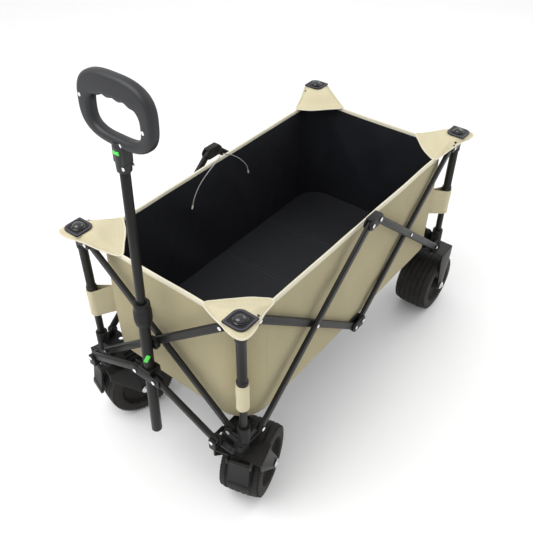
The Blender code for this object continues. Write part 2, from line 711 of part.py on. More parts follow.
def caster(side):
    """The fork that swivels under a front corner, with its axle, wheel and brake pedal."""
    yaw = CASTER_YAW[side]
    across = Vector((math.cos(yaw), math.sin(yaw), 0))
    rearward = Vector((-math.sin(yaw), math.cos(yaw), 0))
    kingpin = Vector((post_x(side, KINGPIN_INSET), post_y("front"), 0))
    axle = kingpin + rearward * CASTER_TRAIL
    axle.z = WHEEL_RADIUS
    inner_face = HUB_WIDTH / 2 + LEG_GAP
    outer_face = inner_face + LEG_THICKNESS
    top_half = outer_face - 0.0012
    frame = frame_of(kingpin + Vector((0, 0, FORK_TOP_Z - LEG_THICKNESS / 2)), across, (0, 0, 1))
    top = plate(
        "fork_plate",
        [[(-top_half, -FORK_PLATE_FRONT), (top_half, -FORK_PLATE_FRONT),
          (top_half, FORK_PLATE_REAR), (-top_half, FORK_PLATE_REAR)]],
        LEG_THICKNESS, frame)
    race_top = BRACKET_PLATE_TOP_Z - BRACKET_PLATE_THICKNESS - 0.010 - FACE_GAP
    race = rod("race", kingpin + Vector((0, 0, FORK_TOP_Z - 0.001)), kingpin + Vector((0, 0, race_top)),
               SWIVEL_RACE_RADIUS, TUBE_STEPS)
    reach = CASTER_TRAIL
    edge = 0.0008
    outline = [
        (edge - FORK_PLATE_FRONT - reach, FORK_TOP_Z - edge),
        (edge - FORK_PLATE_FRONT - reach, FORK_TOP_Z - 0.024),
        *arc((0, WHEEL_RADIUS), 0.015, 215, 370, 8),
        (FORK_PLATE_REAR - edge - reach, FORK_TOP_Z - 0.020),
        (FORK_PLATE_REAR - edge - reach, FORK_TOP_Z - edge),
    ]
    middle = inner_face + LEG_THICKNESS / 2
    legs = [leg("fork_leg", axle, across, rearward, offset, outline) for offset in (-middle, middle)]
    united(top, race, *legs)
    united(top, rod("axle", axle - across * (outer_face - 0.001), axle + across * (outer_face - 0.001),
                    AXLE_RADIUS, 12))
    for sign in (-1, 1):
        united(top, rod("axle_head", axle + across * sign * (outer_face - FUSE),
                        axle + across * sign * (outer_face + 0.0035), AXLE_HEAD_RADIUS, 6))
    cut(top, rod("kingpin_bore", kingpin + Vector((0, 0, FORK_TOP_Z - 0.02)),
                 kingpin + Vector((0, 0, race_top + 0.01)), KINGPIN_RADIUS + PIN_CLEARANCE, 12))
    hinge, start, end = pedal_hinge(side)
    pin_start = start - across * 0.006
    pin_end = end + across * 0.006
    united(top, rod("pedal_pin", pin_start, pin_end, 0.0025, 12))
    for spot in (start - across * 0.0025 - across * FACE_GAP, end + across * 0.0025 + across * FACE_GAP):
        ear_frame = frame_of(spot, rearward, rearward.cross(Vector((0, 0, 1))))
        rise = FORK_TOP_Z - 0.001 - hinge.z
        ear = plate("pedal_ear", [[(-0.006, -0.006), (0.009, -0.006), (0.009, rise), (-0.006, rise)]],
                    0.004, ear_frame)
        united(top, ear)
    part(top, f"caster_fork_{side}", BLACK_STEEL, f"caster_{side}")
    wheel(f"front_wheel_{side}", axle, across, f"front_wheel_{side}")
    brake_pedal(side)


def pedal_hinge(side):
    """The brake pedal's hinge: its middle and its two ends, in front of the caster's wheel."""
    yaw = CASTER_YAW[side]
    across = Vector((math.cos(yaw), math.sin(yaw), 0))
    rearward = Vector((-math.sin(yaw), math.cos(yaw), 0))
    kingpin = Vector((post_x(side, KINGPIN_INSET), post_y("front"), PEDAL_HINGE_Z))
    middle = kingpin - rearward * PEDAL_HINGE_FORWARD + across * SIDES[side] * 0.006
    half = across * PEDAL_WIDTH / 2
    return middle, middle - half, middle + half


def brake_pedal(side):
    """A plate that hangs in front of the wheel and is trodden against it."""
    yaw = CASTER_YAW[side]
    across = Vector((math.cos(yaw), math.sin(yaw), 0))
    middle, start, end = pedal_hinge(side)
    rearward = Vector((-math.sin(yaw), math.cos(yaw), 0))
    down = -Vector((0, 0, 1)) * math.cos(PEDAL_LEAN) - rearward * math.sin(PEDAL_LEAN)
    normal = across.cross(down)
    barrel = rod("pedal_barrel", start, end, 0.0055)
    blade_frame = frame_of(middle, across, normal)
    half = PEDAL_WIDTH / 2
    outline = [(-half, -0.002), (-half, PEDAL_LENGTH), (half, PEDAL_LENGTH), (half, -0.002)]
    turn = -1 if blade_frame.to_3x3().col[1].dot(down) < 0 else 1
    outline = [(x, turn * y) for x, y in outline]
    foot_frame = frame_of(middle + down * (PEDAL_LENGTH - 0.008), across, normal)
    foot = plate("pedal_foot", [[(-half, -0.008), (half, -0.008), (half, 0.008), (-half, 0.008)]],
                 PEDAL_THICKNESS * 2, foot_frame)
    shape = united(barrel, plate("pedal_blade", [outline], PEDAL_THICKNESS, blade_frame), foot)
    cut(shape, rod("pedal_bore", start - across * 0.01, end + across * 0.01, 0.003, 12))
    return part(shape, f"brake_pedal_{side}", BLACK_PLASTIC, f"brake_{side}")


def rear_axle_place(side):
    return Vector((post_x(side, REAR_WHEEL_INSET), post_y("rear"), WHEEL_RADIUS))


def rear_carrier(side):
    """A bridge over the rear wheel with tapered legs down to its axle."""
    axle = rear_axle_place(side)
    across = Vector((1, 0, 0))
    rearward = Vector((0, 1, 0))
    inner_face = HUB_WIDTH / 2 + LEG_GAP
    outer_face = inner_face + LEG_THICKNESS
    half = CARRIER_HALF_LENGTH
    top_half = outer_face - 0.0012
    top = block("carrier_top", axle + Vector((-top_half, -half, CARRIER_TOP_Z - LEG_THICKNESS - axle.z)),
                axle + Vector((top_half, half, CARRIER_TOP_Z - axle.z)))
    edge = 0.0008
    outline = [
        (edge - half, CARRIER_TOP_Z - edge),
        (edge - half, CARRIER_TOP_Z - 0.030),
        *arc((0, WHEEL_RADIUS), 0.015, 200, 340, 8),
        (half - edge, CARRIER_TOP_Z - 0.030),
        (half - edge, CARRIER_TOP_Z - edge),
    ]
    middle = inner_face + LEG_THICKNESS / 2
    united(top, *[leg("carrier_leg", axle, across, rearward, offset, outline) for offset in (-middle, middle)])
    united(top, rod("axle", axle - across * (outer_face - 0.001), axle + across * (outer_face - 0.001),
                    AXLE_RADIUS, 12))
    for sign in (-1, 1):
        united(top, rod("axle_head", axle + across * sign * (outer_face - FUSE),
                        axle + across * sign * (outer_face + 0.0035), AXLE_HEAD_RADIUS, 6))
    part(top, f"rear_carrier_{side}", BLACK_STEEL, f"corner_rear_{side}")
    wheel(f"rear_wheel_{side}", axle, across, f"rear_wheel_{side}")


# ---------------------------------------------------------------- V links and handle
def link_y():
    return post_y("front", -LINK_PLANE)


def link_yoke(side):
    """The piece that tips on the bracket's cross bolt and holds the outer end of a V link."""
    sign = SIDES[side]
    y = post_y("front", -PITCH_AXIS_OUTBOARD)
    plane = link_y()
    barrel = rod("yoke_barrel", (sign * YOKE_INNER_X, y, PITCH_AXIS_Z), (sign * YOKE_OUTER_X, y, PITCH_AXIS_Z),
                 YOKE_RADIUS)
    half = LINK_THICKNESS / 2 + FACE_GAP
    thick = 0.0045
    tools = []
    cheek_half = YOKE_HALF_WIDTH - 0.0006
    x_low, x_high = sign * LINK_OUTER_X - cheek_half, sign * LINK_OUTER_X + cheek_half
    for near, far in ((plane + half, plane + half + thick), (plane - half - thick, plane - half)):
        tools.append(block("yoke_cheek", (x_low, near, PITCH_AXIS_Z + 0.005), (x_high, far, LINK_OUTER_Z)))
        tools.append(rod("yoke_ear", (sign * LINK_OUTER_X, near, LINK_OUTER_Z),
                         (sign * LINK_OUTER_X, far, LINK_OUTER_Z), YOKE_HALF_WIDTH))
    bridge_top = LINK_OUTER_Z - LINK_DEPTH / 2 - 0.003
    tools.append(block("yoke_bridge", (x_low + 0.0007, plane - half - thick + 0.0007, PITCH_AXIS_Z + 0.004),
                       (x_high - 0.0007, y + 0.004, bridge_top)))
    low = half + thick + HEAD_HEIGHT - FUSE
    tools.append(rivet("yoke_rivet", (sign * LINK_OUTER_X, plane, LINK_OUTER_Z), (0, -1, 0), -low, low))
    united(barrel, *tools)
    cut(barrel, rod("yoke_bore", (sign * (YOKE_INNER_X - 0.01), y, PITCH_AXIS_Z),
                    (sign * (YOKE_OUTER_X + 0.01), y, PITCH_AXIS_Z), PIN_RADIUS + PIN_CLEARANCE, 12))
    return part(barrel, f"link_yoke_{side}", BLACK_PLASTIC, f"yoke_{side}")


def v_link(side):
    sign = SIDES[side]
    outer = Vector((sign * LINK_OUTER_X, link_y(), LINK_OUTER_Z))
    inner = Vector((sign * LINK_INNER_X, link_y(), LINK_INNER_Z))
    start, end = (outer, inner) if side == "left" else (inner, outer)
    length = (end - start).length
    hole = PIN_RADIUS + PIN_CLEARANCE
    loops = [capsule(length, LINK_DEPTH / 2), circle((0, 0), hole), circle((length, 0), hole)]
    shape = plate("link", loops, LINK_THICKNESS, frame_of(start, end - start, (0, -1, 0)))
    return part(shape, f"v_link_{side}", BLACK_STEEL, f"link_{side}")


def handle_axis():
    """The handle's foot and the direction it rises in."""
    foot = Vector((0, post_y("front", -HANDLE_FOOT_OUTBOARD), HANDLE_FOOT_Z))
    return foot, Vector((0, math.sin(HANDLE_LEAN), math.cos(HANDLE_LEAN)))


def handle_at(z):
    foot, rise = handle_axis()
    return foot + rise * ((z - foot.z) / rise.z)


def handle_back_at(z):
    """How far outboard of the front posts the back of the outer tube is, at a height."""
    return -handle_at(z).y - POSTS_ALONG / 2 - OUTER_TUBE_RADIUS / math.cos(HANDLE_LEAN) - 0.0004


def handle_frame(z):
    _, rise = handle_axis()
    return frame_of(handle_at(z), (1, 0, 0), rise)


def handle_mount():
    """The clamp that joins both V links and grips the outer tube."""
    plane = link_y()
    half_link = LINK_THICKNESS / 2 + FACE_GAP
    thick = 0.0035
    low, high = LINK_INNER_Z - MOUNT_HEIGHT / 2, LINK_INNER_Z + MOUNT_HEIGHT / 2
    strip = block("front_strip", (-MOUNT_HALF_WIDTH, plane - half_link - thick, low),
                  (MOUNT_HALF_WIDTH, plane - half_link, high), bevel=0.0008)
    back = plane + half_link
    tools = [block("back_strip", (-MOUNT_HALF_WIDTH, back, low), (MOUNT_HALF_WIDTH, back + thick, high))]
    block_high = low + MOUNT_BLOCK_HEIGHT
    tube_back = handle_at(low).y + OUTER_TUBE_RADIUS
    tools.append(block("clamp_block", (-MOUNT_BLOCK_HALF_WIDTH, plane - half_link - 0.001, low + 0.0004),
                       (MOUNT_BLOCK_HALF_WIDTH, tube_back + 0.005, block_high)))
    reach = half_link + thick + HEAD_HEIGHT - FUSE
    for sign in (-1, 1):
        tools.append(rivet("mount_rivet", (sign * LINK_INNER_X, plane, LINK_INNER_Z), (0, -1, 0), -reach, reach))
    united(strip, *tools)
    cut(strip, rod("clamp_bore", handle_at(low - 0.02), handle_at(block_high + 0.02),
                   OUTER_TUBE_RADIUS + 0.0004, TUBE_STEPS))
    return part(strip, "handle_mount", BLACK_PLASTIC, "mount")


def handle_tubes():
    foot_z = HANDLE_FOOT_Z
    outer = [
        (OUTER_TUBE_RADIUS - TUBE_WALL, OUTER_TUBE_LENGTH),
        (OUTER_TUBE_RADIUS, OUTER_TUBE_LENGTH),
        (OUTER_TUBE_RADIUS, 0),
        (OUTER_TUBE_RADIUS - TUBE_WALL, 0),
    ]
    part(turned("outer_tube", outer, handle_frame(foot_z), TUBE_STEPS, closed=True),
         "handle_outer_tube", BLACK_STEEL, "mount")
    start = OUTER_TUBE_LENGTH - INNER_TUBE_ENGAGED
    end = (GRIP_NECK_Z - foot_z) / math.cos(HANDLE_LEAN) + 0.030
    bore = INNER_TUBE_RADIUS - TUBE_WALL
    inner = [(bore, end), (INNER_TUBE_RADIUS, end), (INNER_TUBE_RADIUS, start), (bore, start)]
    part(turned("inner_tube", inner, handle_frame(foot_z), TUBE_STEPS, closed=True),
         "handle_inner_tube", BLACK_STEEL, "slide")


def lock_collar():
    """The twist collar that clamps the telescopic tubes."""
    low = OUTER_TUBE_LENGTH - COLLAR_OVERLAP
    high = low + COLLAR_HEIGHT
    seat = OUTER_TUBE_LENGTH + FACE_GAP
    inner_bore = INNER_TUBE_RADIUS + 0.0004
    outer_bore = OUTER_TUBE_RADIUS + 0.0004
    profile = [
        (inner_bore, high),
        (COLLAR_RADIUS - 0.002, high),
        (COLLAR_RADIUS, high - 0.005),
        (COLLAR_RADIUS, low + 0.008),
        (COLLAR_RADIUS - 0.002, low),
        (outer_bore, low),
        (outer_bore, seat),
        (inner_bore, seat),
    ]
    shape = turned("collar", profile, handle_frame(HANDLE_FOOT_Z), TUBE_STEPS, closed=True)
    return part(shape, "lock_collar", BLACK_PLASTIC, "collar")


def oblong(half_width, half_height, roundness, middle=0.0):
    """A rounded oblong outline, wider than high."""
    outline = []
    for step in range(GRIP_STEPS):
        angle = 2 * math.pi * step / GRIP_STEPS
        c, s = math.cos(angle), math.sin(angle)
        outline.append((half_width * math.copysign(abs(c) ** roundness, c),
                        middle + half_height * math.copysign(abs(s) ** roundness, s)))
    return outline


def grip():
    """A flat hand ring on a neck that is pressed on the inner tube."""
    _, rise = handle_axis()
    frame = frame_of(handle_at(GRIP_RING_Z), (1, 0, 0), Vector((1, 0, 0)).cross(rise))
    outer = oblong(GRIP_HALF_WIDTH, GRIP_HALF_HEIGHT, GRIP_ROUNDNESS)
    hole = oblong(HAND_HOLE_HALF_WIDTH, HAND_HOLE_HALF_HEIGHT, HAND_HOLE_ROUNDNESS, -HAND_HOLE_DROP)
    shape = plate("ring", [outer, hole], GRIP_THICKNESS, frame)
    neck_frame = handle_frame(GRIP_NECK_Z)
    profile = [
        (0, GRIP_NECK_HEIGHT),
        (GRIP_NECK_RADIUS, GRIP_NECK_HEIGHT),
        (GRIP_NECK_RADIUS, 0.008),
        (GRIP_NECK_RADIUS - 0.001, 0),
        (0, 0),
    ]
    united(shape, turned("neck", profile, neck_frame))
    cut(shape, rod("neck_bore", handle_at(GRIP_NECK_Z - 0.01), handle_at(GRIP_NECK_Z) + rise * 0.032,
                   INNER_TUBE_RADIUS + 0.0004, TUBE_STEPS))
    button = button_place()
    cut(shape, block("button_pocket",
                     (-BUTTON_WIDTH / 2 - 0.0004, button.y - 0.02, button.z - BUTTON_HEIGHT / 2 - 0.0004),
                     (BUTTON_WIDTH / 2 + 0.0004, button.y + BUTTON_DEPTH + BUTTON_TRAVEL + 0.0004,
                      button.z + BUTTON_HEIGHT / 2 + 0.0004)))
    return part(shape, "grip", BLACK_PLASTIC, "slide")


def button_place():
    """The middle of the release button's outer face, on the front of the grip's neck."""
    place = handle_at(GRIP_NECK_Z + 0.0405)
    return Vector((0, place.y - GRIP_NECK_RADIUS - 0.0010, place.z))


def grip_button():
    place = button_place()
    shape = block("button", (-BUTTON_WIDTH / 2, place.y, place.z - BUTTON_HEIGHT / 2),
                  (BUTTON_WIDTH / 2, place.y + BUTTON_DEPTH, place.z + BUTTON_HEIGHT / 2), bevel=0.0006)
    return part(shape, "grip_button", GREEN_PLASTIC, "button")


# ---------------------------------------------------------------- fabric
def wall(name, plan, pivot_name):
    """A fabric panel that follows a plan line, standing between the tub's bottom and top."""
    mesh = bpy.data.meshes.new(name)
    count = len(plan)
    places = [(x, y, TUB_BOTTOM_Z) for x, y in plan] + [(x, y, TUB_TOP_Z) for x, y in plan]
    faces = [(i, i + 1, count + i + 1, count + i) for i in range(count - 1)]
    mesh.from_pydata(places, [], faces)
    shape = helper(name, mesh)
    shell = shape.modifiers.new("thickness", "SOLIDIFY")
    shell.thickness = FABRIC_THICKNESS
    shell.offset = 0
    return part(shape, name, KHAKI_CANVAS, pivot_name)


def tub_edges():
    """Half width and half length to the middle of the fabric."""
    return POSTS_ACROSS / 2 - TUB_INSET_SIDE, POSTS_ALONG / 2 - TUB_INSET_END


def side_wall(side):
    x, y = tub_edges()
    x *= SIDES[side]
    stop = y - TUB_CORNER_CUT - 2 * PANEL_GAP
    return wall(f"tub_wall_{side}", [(x, -stop), (x, stop)], f"hinge_{side}_top")


def end_wall(end, pivot_name):
    x, y = tub_edges()
    sign = ENDS[end]
    corner = (x, sign * (y - TUB_CORNER_CUT))
    turn = (x - TUB_CORNER_CUT, sign * y)
    plan = [(-corner[0], corner[1]), (-turn[0], turn[1]), turn, corner]
    return wall(f"tub_wall_{end}", plan, pivot_name)


def floor_half(side):
    """Half of the stiffened floor; the cart folds along the gap between the halves."""
    x, y = tub_edges()
    x -= FLOOR_INSET
    y -= FLOOR_INSET
    cut_off = TUB_CORNER_CUT
    sign = SIDES[side]
    outline = [(sign * PANEL_GAP, -y), (sign * (x - cut_off), -y), (sign * x, -y + cut_off),
               (sign * x, y - cut_off), (sign * (x - cut_off), y), (sign * PANEL_GAP, y)]
    top = TUB_BOTTOM_Z - PANEL_GAP
    frame = Matrix.Translation((0, 0, top - FLOOR_THICKNESS / 2))
    return part(plate(f"tub_floor_{side}", [outline], FLOOR_THICKNESS, frame),
                f"tub_floor_{side}", BLACK_LINING, f"hinge_{side}_top")


STRING_ROUTES = {
    "front": [
        (-0.2120, -0.006, 0.5900), (-0.2100, -0.010, 0.5880), (-0.2090, -0.018, 0.5840),
        (-0.2090, -0.028, 0.5790), (-0.2095, -0.039, 0.5735), (-0.2100, -0.050, 0.5675),
        (-0.2105, -0.061, 0.5610), (-0.2110, -0.072, 0.5540), (-0.2110, -0.083, 0.5465),
        (-0.2105, -0.093, 0.5390), (-0.2095, -0.102, 0.5310), (-0.2085, -0.110, 0.5225),
        (-0.2080, -0.116, 0.5135), (-0.2080, -0.120, 0.5040), (-0.2080, -0.123, 0.4950),
    ],
    "rear": [
        (-0.2120, 0.006, 0.5900), (-0.2100, 0.010, 0.5880), (-0.2090, 0.017, 0.5840),
        (-0.2090, 0.026, 0.5790), (-0.2095, 0.035, 0.5735), (-0.2100, 0.044, 0.5670),
        (-0.2105, 0.053, 0.5600), (-0.2110, 0.062, 0.5525), (-0.2110, 0.070, 0.5445),
        (-0.2105, 0.078, 0.5365), (-0.2095, 0.085, 0.5280), (-0.2085, 0.091, 0.5195),
        (-0.2080, 0.096, 0.5105), (-0.2080, 0.099, 0.5010), (-0.2080, 0.101, 0.4915),
    ],
}


def tie_string(end):
    """A thin tie that hangs inside the tub from the middle of the right rim."""
    shape = wire(f"tie_string_{end}", STRING_ROUTES[end], STRING_RADIUS)
    return part(shape, f"tie_string_{end}", STRING_GREY, "hinge_right_top")


# ---------------------------------------------------------------- joints, then the cart
def make_pivots():
    """One empty for each moving body, on its joint's axis, chained as the cart moves."""
    pivot("corner_front_left", (post_x("left"), post_y("front"), 0))
    middle_z = (LOWER_PIVOT_Z + UPPER_PIVOT_Z) / 2
    make_end_pivots("front", "corner_front_left", middle_z)
    pivot("corner_front_right", (post_x("right", END_PIVOT_INSET), post_y("front"), LOWER_PIVOT_Z), "front_outer")
    pivot("post_front_right", (post_x("right", END_PIVOT_INSET), post_y("front"), UPPER_PIVOT_Z), "front_inner")
    for side in SIDES:
        make_side_pivots(side, f"corner_front_{side}", middle_z)
    front = post_y("front", SIDE_PIVOT_INSET)
    pivot("post_front_left", (post_x("left"), front, UPPER_PIVOT_Z), "side_left_1_inner")
    make_end_pivots("rear", "corner_rear_left", middle_z)
    for side in SIDES:
        kingpin = (post_x(side, KINGPIN_INSET), post_y("front"), FORK_TOP_Z)
        pivot(f"caster_{side}", kingpin, f"corner_front_{side}")
        yaw = CASTER_YAW[side]
        axle = Vector((kingpin[0] - CASTER_TRAIL * math.sin(yaw), kingpin[1] + CASTER_TRAIL * math.cos(yaw),
                       WHEEL_RADIUS))
        pivot(f"front_wheel_{side}", axle, f"caster_{side}")
        pivot(f"brake_{side}", pedal_hinge(side)[0], f"caster_{side}")
        pivot(f"rear_wheel_{side}", rear_axle_place(side), f"corner_rear_{side}")
    pitch_y = post_y("front", -PITCH_AXIS_OUTBOARD)
    pivot("yoke_left", (LINK_OUTER_X, pitch_y, PITCH_AXIS_Z), "corner_front_left")
    pivot("link_left", (LINK_OUTER_X, link_y(), LINK_OUTER_Z), "yoke_left")
    pivot("mount", (LINK_INNER_X, link_y(), LINK_INNER_Z), "link_left")
    pivot("link_right", (-LINK_INNER_X, link_y(), LINK_INNER_Z), "mount")
    pivot("yoke_right", (-LINK_OUTER_X, link_y(), LINK_OUTER_Z), "link_right")
    pivot("slide", handle_at(GRIP_NECK_Z), "mount")
    pivot("collar", handle_at(HANDLE_FOOT_Z) + handle_axis()[1] * OUTER_TUBE_LENGTH, "mount")
    pivot("button", button_place(), "slide")


def make_end_pivots(end, parent, middle_z):
    left = post_x("left", END_PIVOT_INSET)
    pivot(f"{end}_inner", (left, post_y(end), LOWER_PIVOT_Z), parent)
    pivot(f"{end}_outer", (0, post_y(end), middle_z), f"{end}_inner")


def make_side_pivots(side, parent, middle_z):
    front = post_y("front", SIDE_PIVOT_INSET)
    rear = post_y("rear", SIDE_PIVOT_INSET)
    x = post_x(side)
    middle = HINGE_PITCH / 2
    crossing = (rear + middle) / 2
    pivot(f"side_{side}_1_outer", (x, front, LOWER_PIVOT_Z), parent)
    pivot(f"side_{side}_1_inner", (x, -crossing, middle_z), f"side_{side}_1_outer")
    pivot(f"hinge_{side}_top", (x, -middle, UPPER_PIVOT_Z), f"side_{side}_1_outer")
    pivot(f"hinge_{side}_bottom", (x, -middle, LOWER_PIVOT_Z), f"side_{side}_1_inner")
    pivot(f"side_{side}_2_outer", (x, middle, UPPER_PIVOT_Z), f"hinge_{side}_top")
    pivot(f"side_{side}_2_inner", (x, crossing, middle_z), f"side_{side}_2_outer")
    pivot(f"corner_rear_{side}", (x, rear, LOWER_PIVOT_Z), f"side_{side}_2_outer")
    pivot(f"post_rear_{side}", (x, rear, UPPER_PIVOT_Z), f"side_{side}_2_inner")


def build_cart():
    make_pivots()
    for side in SIDES:
        side_bars(side)
        for level in ("top", "bottom"):
            middle_hinge(side, level)
        for end in ENDS:
            lower_bracket(side, end)
            lower_tube(side, end)
            upper_post(side, end)
            corner_cap(side, end)
        caster(side)
        rear_carrier(side)
        link_yoke(side)
        v_link(side)
        side_wall(side)
        floor_half(side)
    for end in ENDS:
        end_bars(end)
        tie_string(end)
    handle_mount()
    handle_tubes()
    lock_collar()
    grip()
    grip_button()
    end_wall("front", "post_front_left")
    end_wall("rear", "post_rear_left")


def centre_on_floor():
    """Moves the whole cart so that its box stands on the origin, centred."""
    bpy.context.view_layer.update()
    graph = bpy.context.evaluated_depsgraph_get()
    low, high = Vector((9, 9, 9)), Vector((-9, -9, -9))
    for thing in PARTS.objects:
        if thing.type == "EMPTY" or thing.name.startswith("tie_string"):
            continue
        held = thing.evaluated_get(graph)
        for corner in held.bound_box:
            place = held.matrix_world @ Vector(corner)
            low = Vector(map(min, low, place))
            high = Vector(map(max, high, place))
    root = bpy.data.objects.new("beach_cart_origin", None)
    PARTS.objects.link(root)
    PIVOTS["corner_front_left"][0].parent = root
    root.location = (-(low.x + high.x) / 2, -(low.y + high.y) / 2, -low.z)


build_cart()
centre_on_floor()
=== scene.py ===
"""Looks of a folding beach cart: steel scissor frame, canvas tub, four wide wheels, pull handle.

Metres, +Z up. The handle is at -Y and the cart's own left side is +X. Every piece is placed from
the boxes of the frame's own nodes. "Outboard" is measured away from the cart's centre, from a post.
"""

import json
import math

import bmesh
import bpy
from mathutils import Matrix, Vector, noise

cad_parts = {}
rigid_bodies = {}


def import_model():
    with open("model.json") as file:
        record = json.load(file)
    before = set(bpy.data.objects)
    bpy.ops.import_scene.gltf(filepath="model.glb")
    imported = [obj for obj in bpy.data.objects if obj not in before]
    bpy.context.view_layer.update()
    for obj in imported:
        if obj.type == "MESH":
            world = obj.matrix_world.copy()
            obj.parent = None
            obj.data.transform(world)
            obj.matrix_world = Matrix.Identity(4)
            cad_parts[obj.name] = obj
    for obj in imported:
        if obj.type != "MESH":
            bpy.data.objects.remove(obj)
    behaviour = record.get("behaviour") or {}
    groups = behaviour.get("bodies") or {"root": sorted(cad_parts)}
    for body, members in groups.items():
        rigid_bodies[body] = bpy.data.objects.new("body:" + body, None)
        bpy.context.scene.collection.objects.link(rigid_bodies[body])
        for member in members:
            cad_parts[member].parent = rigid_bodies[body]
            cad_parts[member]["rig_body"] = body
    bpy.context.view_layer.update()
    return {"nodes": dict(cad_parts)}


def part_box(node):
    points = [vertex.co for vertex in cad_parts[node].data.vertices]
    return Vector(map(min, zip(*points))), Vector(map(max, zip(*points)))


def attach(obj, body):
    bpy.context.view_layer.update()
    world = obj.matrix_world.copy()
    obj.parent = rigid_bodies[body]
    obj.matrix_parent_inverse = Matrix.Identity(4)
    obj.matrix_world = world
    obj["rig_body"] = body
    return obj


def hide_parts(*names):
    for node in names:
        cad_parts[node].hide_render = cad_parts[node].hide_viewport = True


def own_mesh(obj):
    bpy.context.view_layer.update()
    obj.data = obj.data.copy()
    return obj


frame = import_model()

bl_info = {
    "name": "Folding beach cart",
    "version": (1, 0, 0),
    "blender": (4, 5, 0),
    "location": "View3D > Sidebar > Beach cart",
    "description": "Dresses a folding beach cart in canvas, coated steel and moulded parts",
    "category": "Object",
}

TAU = 2 * math.pi
SIDES = {"left": 1, "right": -1}
ENDS = {"front": -1, "rear": 1}


# ---------------------------------------------------------------- places, from the frame
def middle_of(node):
    low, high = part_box(node)
    return (low + high) / 2


FRONT_POST = middle_of("lower_post_tube_front_left")
REAR_POST = middle_of("lower_post_tube_rear_left")
HALF_ACROSS = FRONT_POST.x
HALF_ALONG = (REAR_POST.y - FRONT_POST.y) / 2
MIDDLE_Y = (REAR_POST.y + FRONT_POST.y) / 2

SIDE_INSET = 0.040
END_INSET = 0.033
HINGE_HALF = 0.0165
LOW_PIVOT_Z = 0.256
HIGH_PIVOT_Z = 0.587
CROSSING_Z = (LOW_PIVOT_Z + HIGH_PIVOT_Z) / 2
INNER_LAYER = 0.004
OUTER_LAYER = 0.0155
BAR_HALF_THICK = 0.005
BAR_HALF_DEPTH = 0.010

WALL_INSET_SIDE = 0.0100
WALL_INSET_END = 0.0200
TUB_CORNER = 0.070
TUB_BOTTOM_Z = 0.2608
TUB_TOP_Z = 0.578
CAP_Z = 0.611
HANDLE_LEAN = math.radians(1.9)
GRIP_RING_Z = 0.974
GRIP_NECK_Z = 0.862
COLLAR_SPAN = (0.348, 0.406)
LINK_PLANE = FRONT_POST.y - 0.0555
YOKE_X, YOKE_Z = 0.195, 0.273
MOUNT_X, MOUNT_Z = 0.029, 0.346
MAT_Z = 0.2648
MAT_SEAMS = (-0.205, 0.004, 0.205)
SEAM_HALF = 0.006
RIGHT_MAT_DROP = 0.0020
CAP_HALF, CAP_ROUND, CAP_POINT = 0.0262, 0.018, 0.004
CAP_KEEP_CLEAR = 0.026
HANDLE_FOOT = Vector((0, FRONT_POST.y - 0.0545, 0.148))
HANDLE_RISE = Vector((0, math.sin(HANDLE_LEAN), math.cos(HANDLE_LEAN)))


def corner(side, end, inboard_x=0.0, inboard_y=0.0, z=0.0):
    """A place measured inboard from a corner post."""
    return Vector((SIDES[side] * (HALF_ACROSS - inboard_x),
                   MIDDLE_Y + ENDS[end] * (HALF_ALONG - inboard_y), z))


def side_point(side, outboard, y, z):
    """A place beside a long side; y is from the cart's middle."""
    return Vector((SIDES[side] * (HALF_ACROSS + outboard), MIDDLE_Y + y, z))


def end_point(end, outboard, x, z):
    return Vector((x, MIDDLE_Y + ENDS[end] * (HALF_ALONG + outboard), z))


def corner_body(side, end):
    return f"{end}_{side}_corner"


def post_body(side, end):
    return f"{end}_{side}_upper_post"


def handle_at(z):
    return HANDLE_FOOT + HANDLE_RISE * ((z - HANDLE_FOOT.z) / HANDLE_RISE.z)


def frame_of(origin, x_axis, z_axis):
    """A placing matrix with local X along x_axis and local Z along z_axis."""
    x_axis = Vector(x_axis).normalized()
    z_axis = Vector(z_axis).normalized()
    turn = Matrix((x_axis, z_axis.cross(x_axis), z_axis)).transposed().to_4x4()
    return Matrix.Translation(Vector(origin)) @ turn


def along(direction, origin):
    """A placing matrix with local Z along a direction."""
    turn = Vector(direction).to_track_quat("Z", "Y").to_matrix().to_4x4()
    return Matrix.Translation(Vector(origin)) @ turn


# ---------------------------------------------------------------- node graphs
class Wire:
    """A value that runs between nodes; arithmetic on it adds Math nodes."""

    def __init__(self, graph, socket):
        self.graph = graph
        self.socket = socket

    def _maths(self, operation, *values):
        node = self.graph.add("ShaderNodeMath", {"operation": operation}, dict(enumerate(values)))
        return Wire(self.graph, node.outputs[0])

    def __add__(self, other):
        return self._maths("ADD", self, other)

    def __sub__(self, other):
        return self._maths("SUBTRACT", self, other)

    def __rsub__(self, other):
        return self._maths("SUBTRACT", other, self)

    def __mul__(self, other):
        return self._maths("MULTIPLY", self, other)

    __radd__ = __add__
    __rmul__ = __mul__

    def sine(self):
        return self._maths("SINE", self)

    def kept(self):
        """Held between 0 and 1."""
        return self._maths("MINIMUM", self._maths("MAXIMUM", self, 0.0), 1.0)


class Graph:
    """A node tree. Nodes are added by type, settings and the values or links of their sockets."""

    def __init__(self, tree):
        self.tree = tree

    def add(self, kind, settings=None, sockets=None):
        node = self.tree.nodes.new(kind)
        for name, value in (settings or {}).items():
            setattr(node, name, value)
        for name, value in (sockets or {}).items():
            if isinstance(value, Wire):
                self.tree.links.new(value.socket, node.inputs[name])
            else:
                node.inputs[name].default_value = value
        return node

    def wire(self, kind, settings=None, sockets=None, output=0):
        return Wire(self, self.add(kind, settings, sockets).outputs[output])


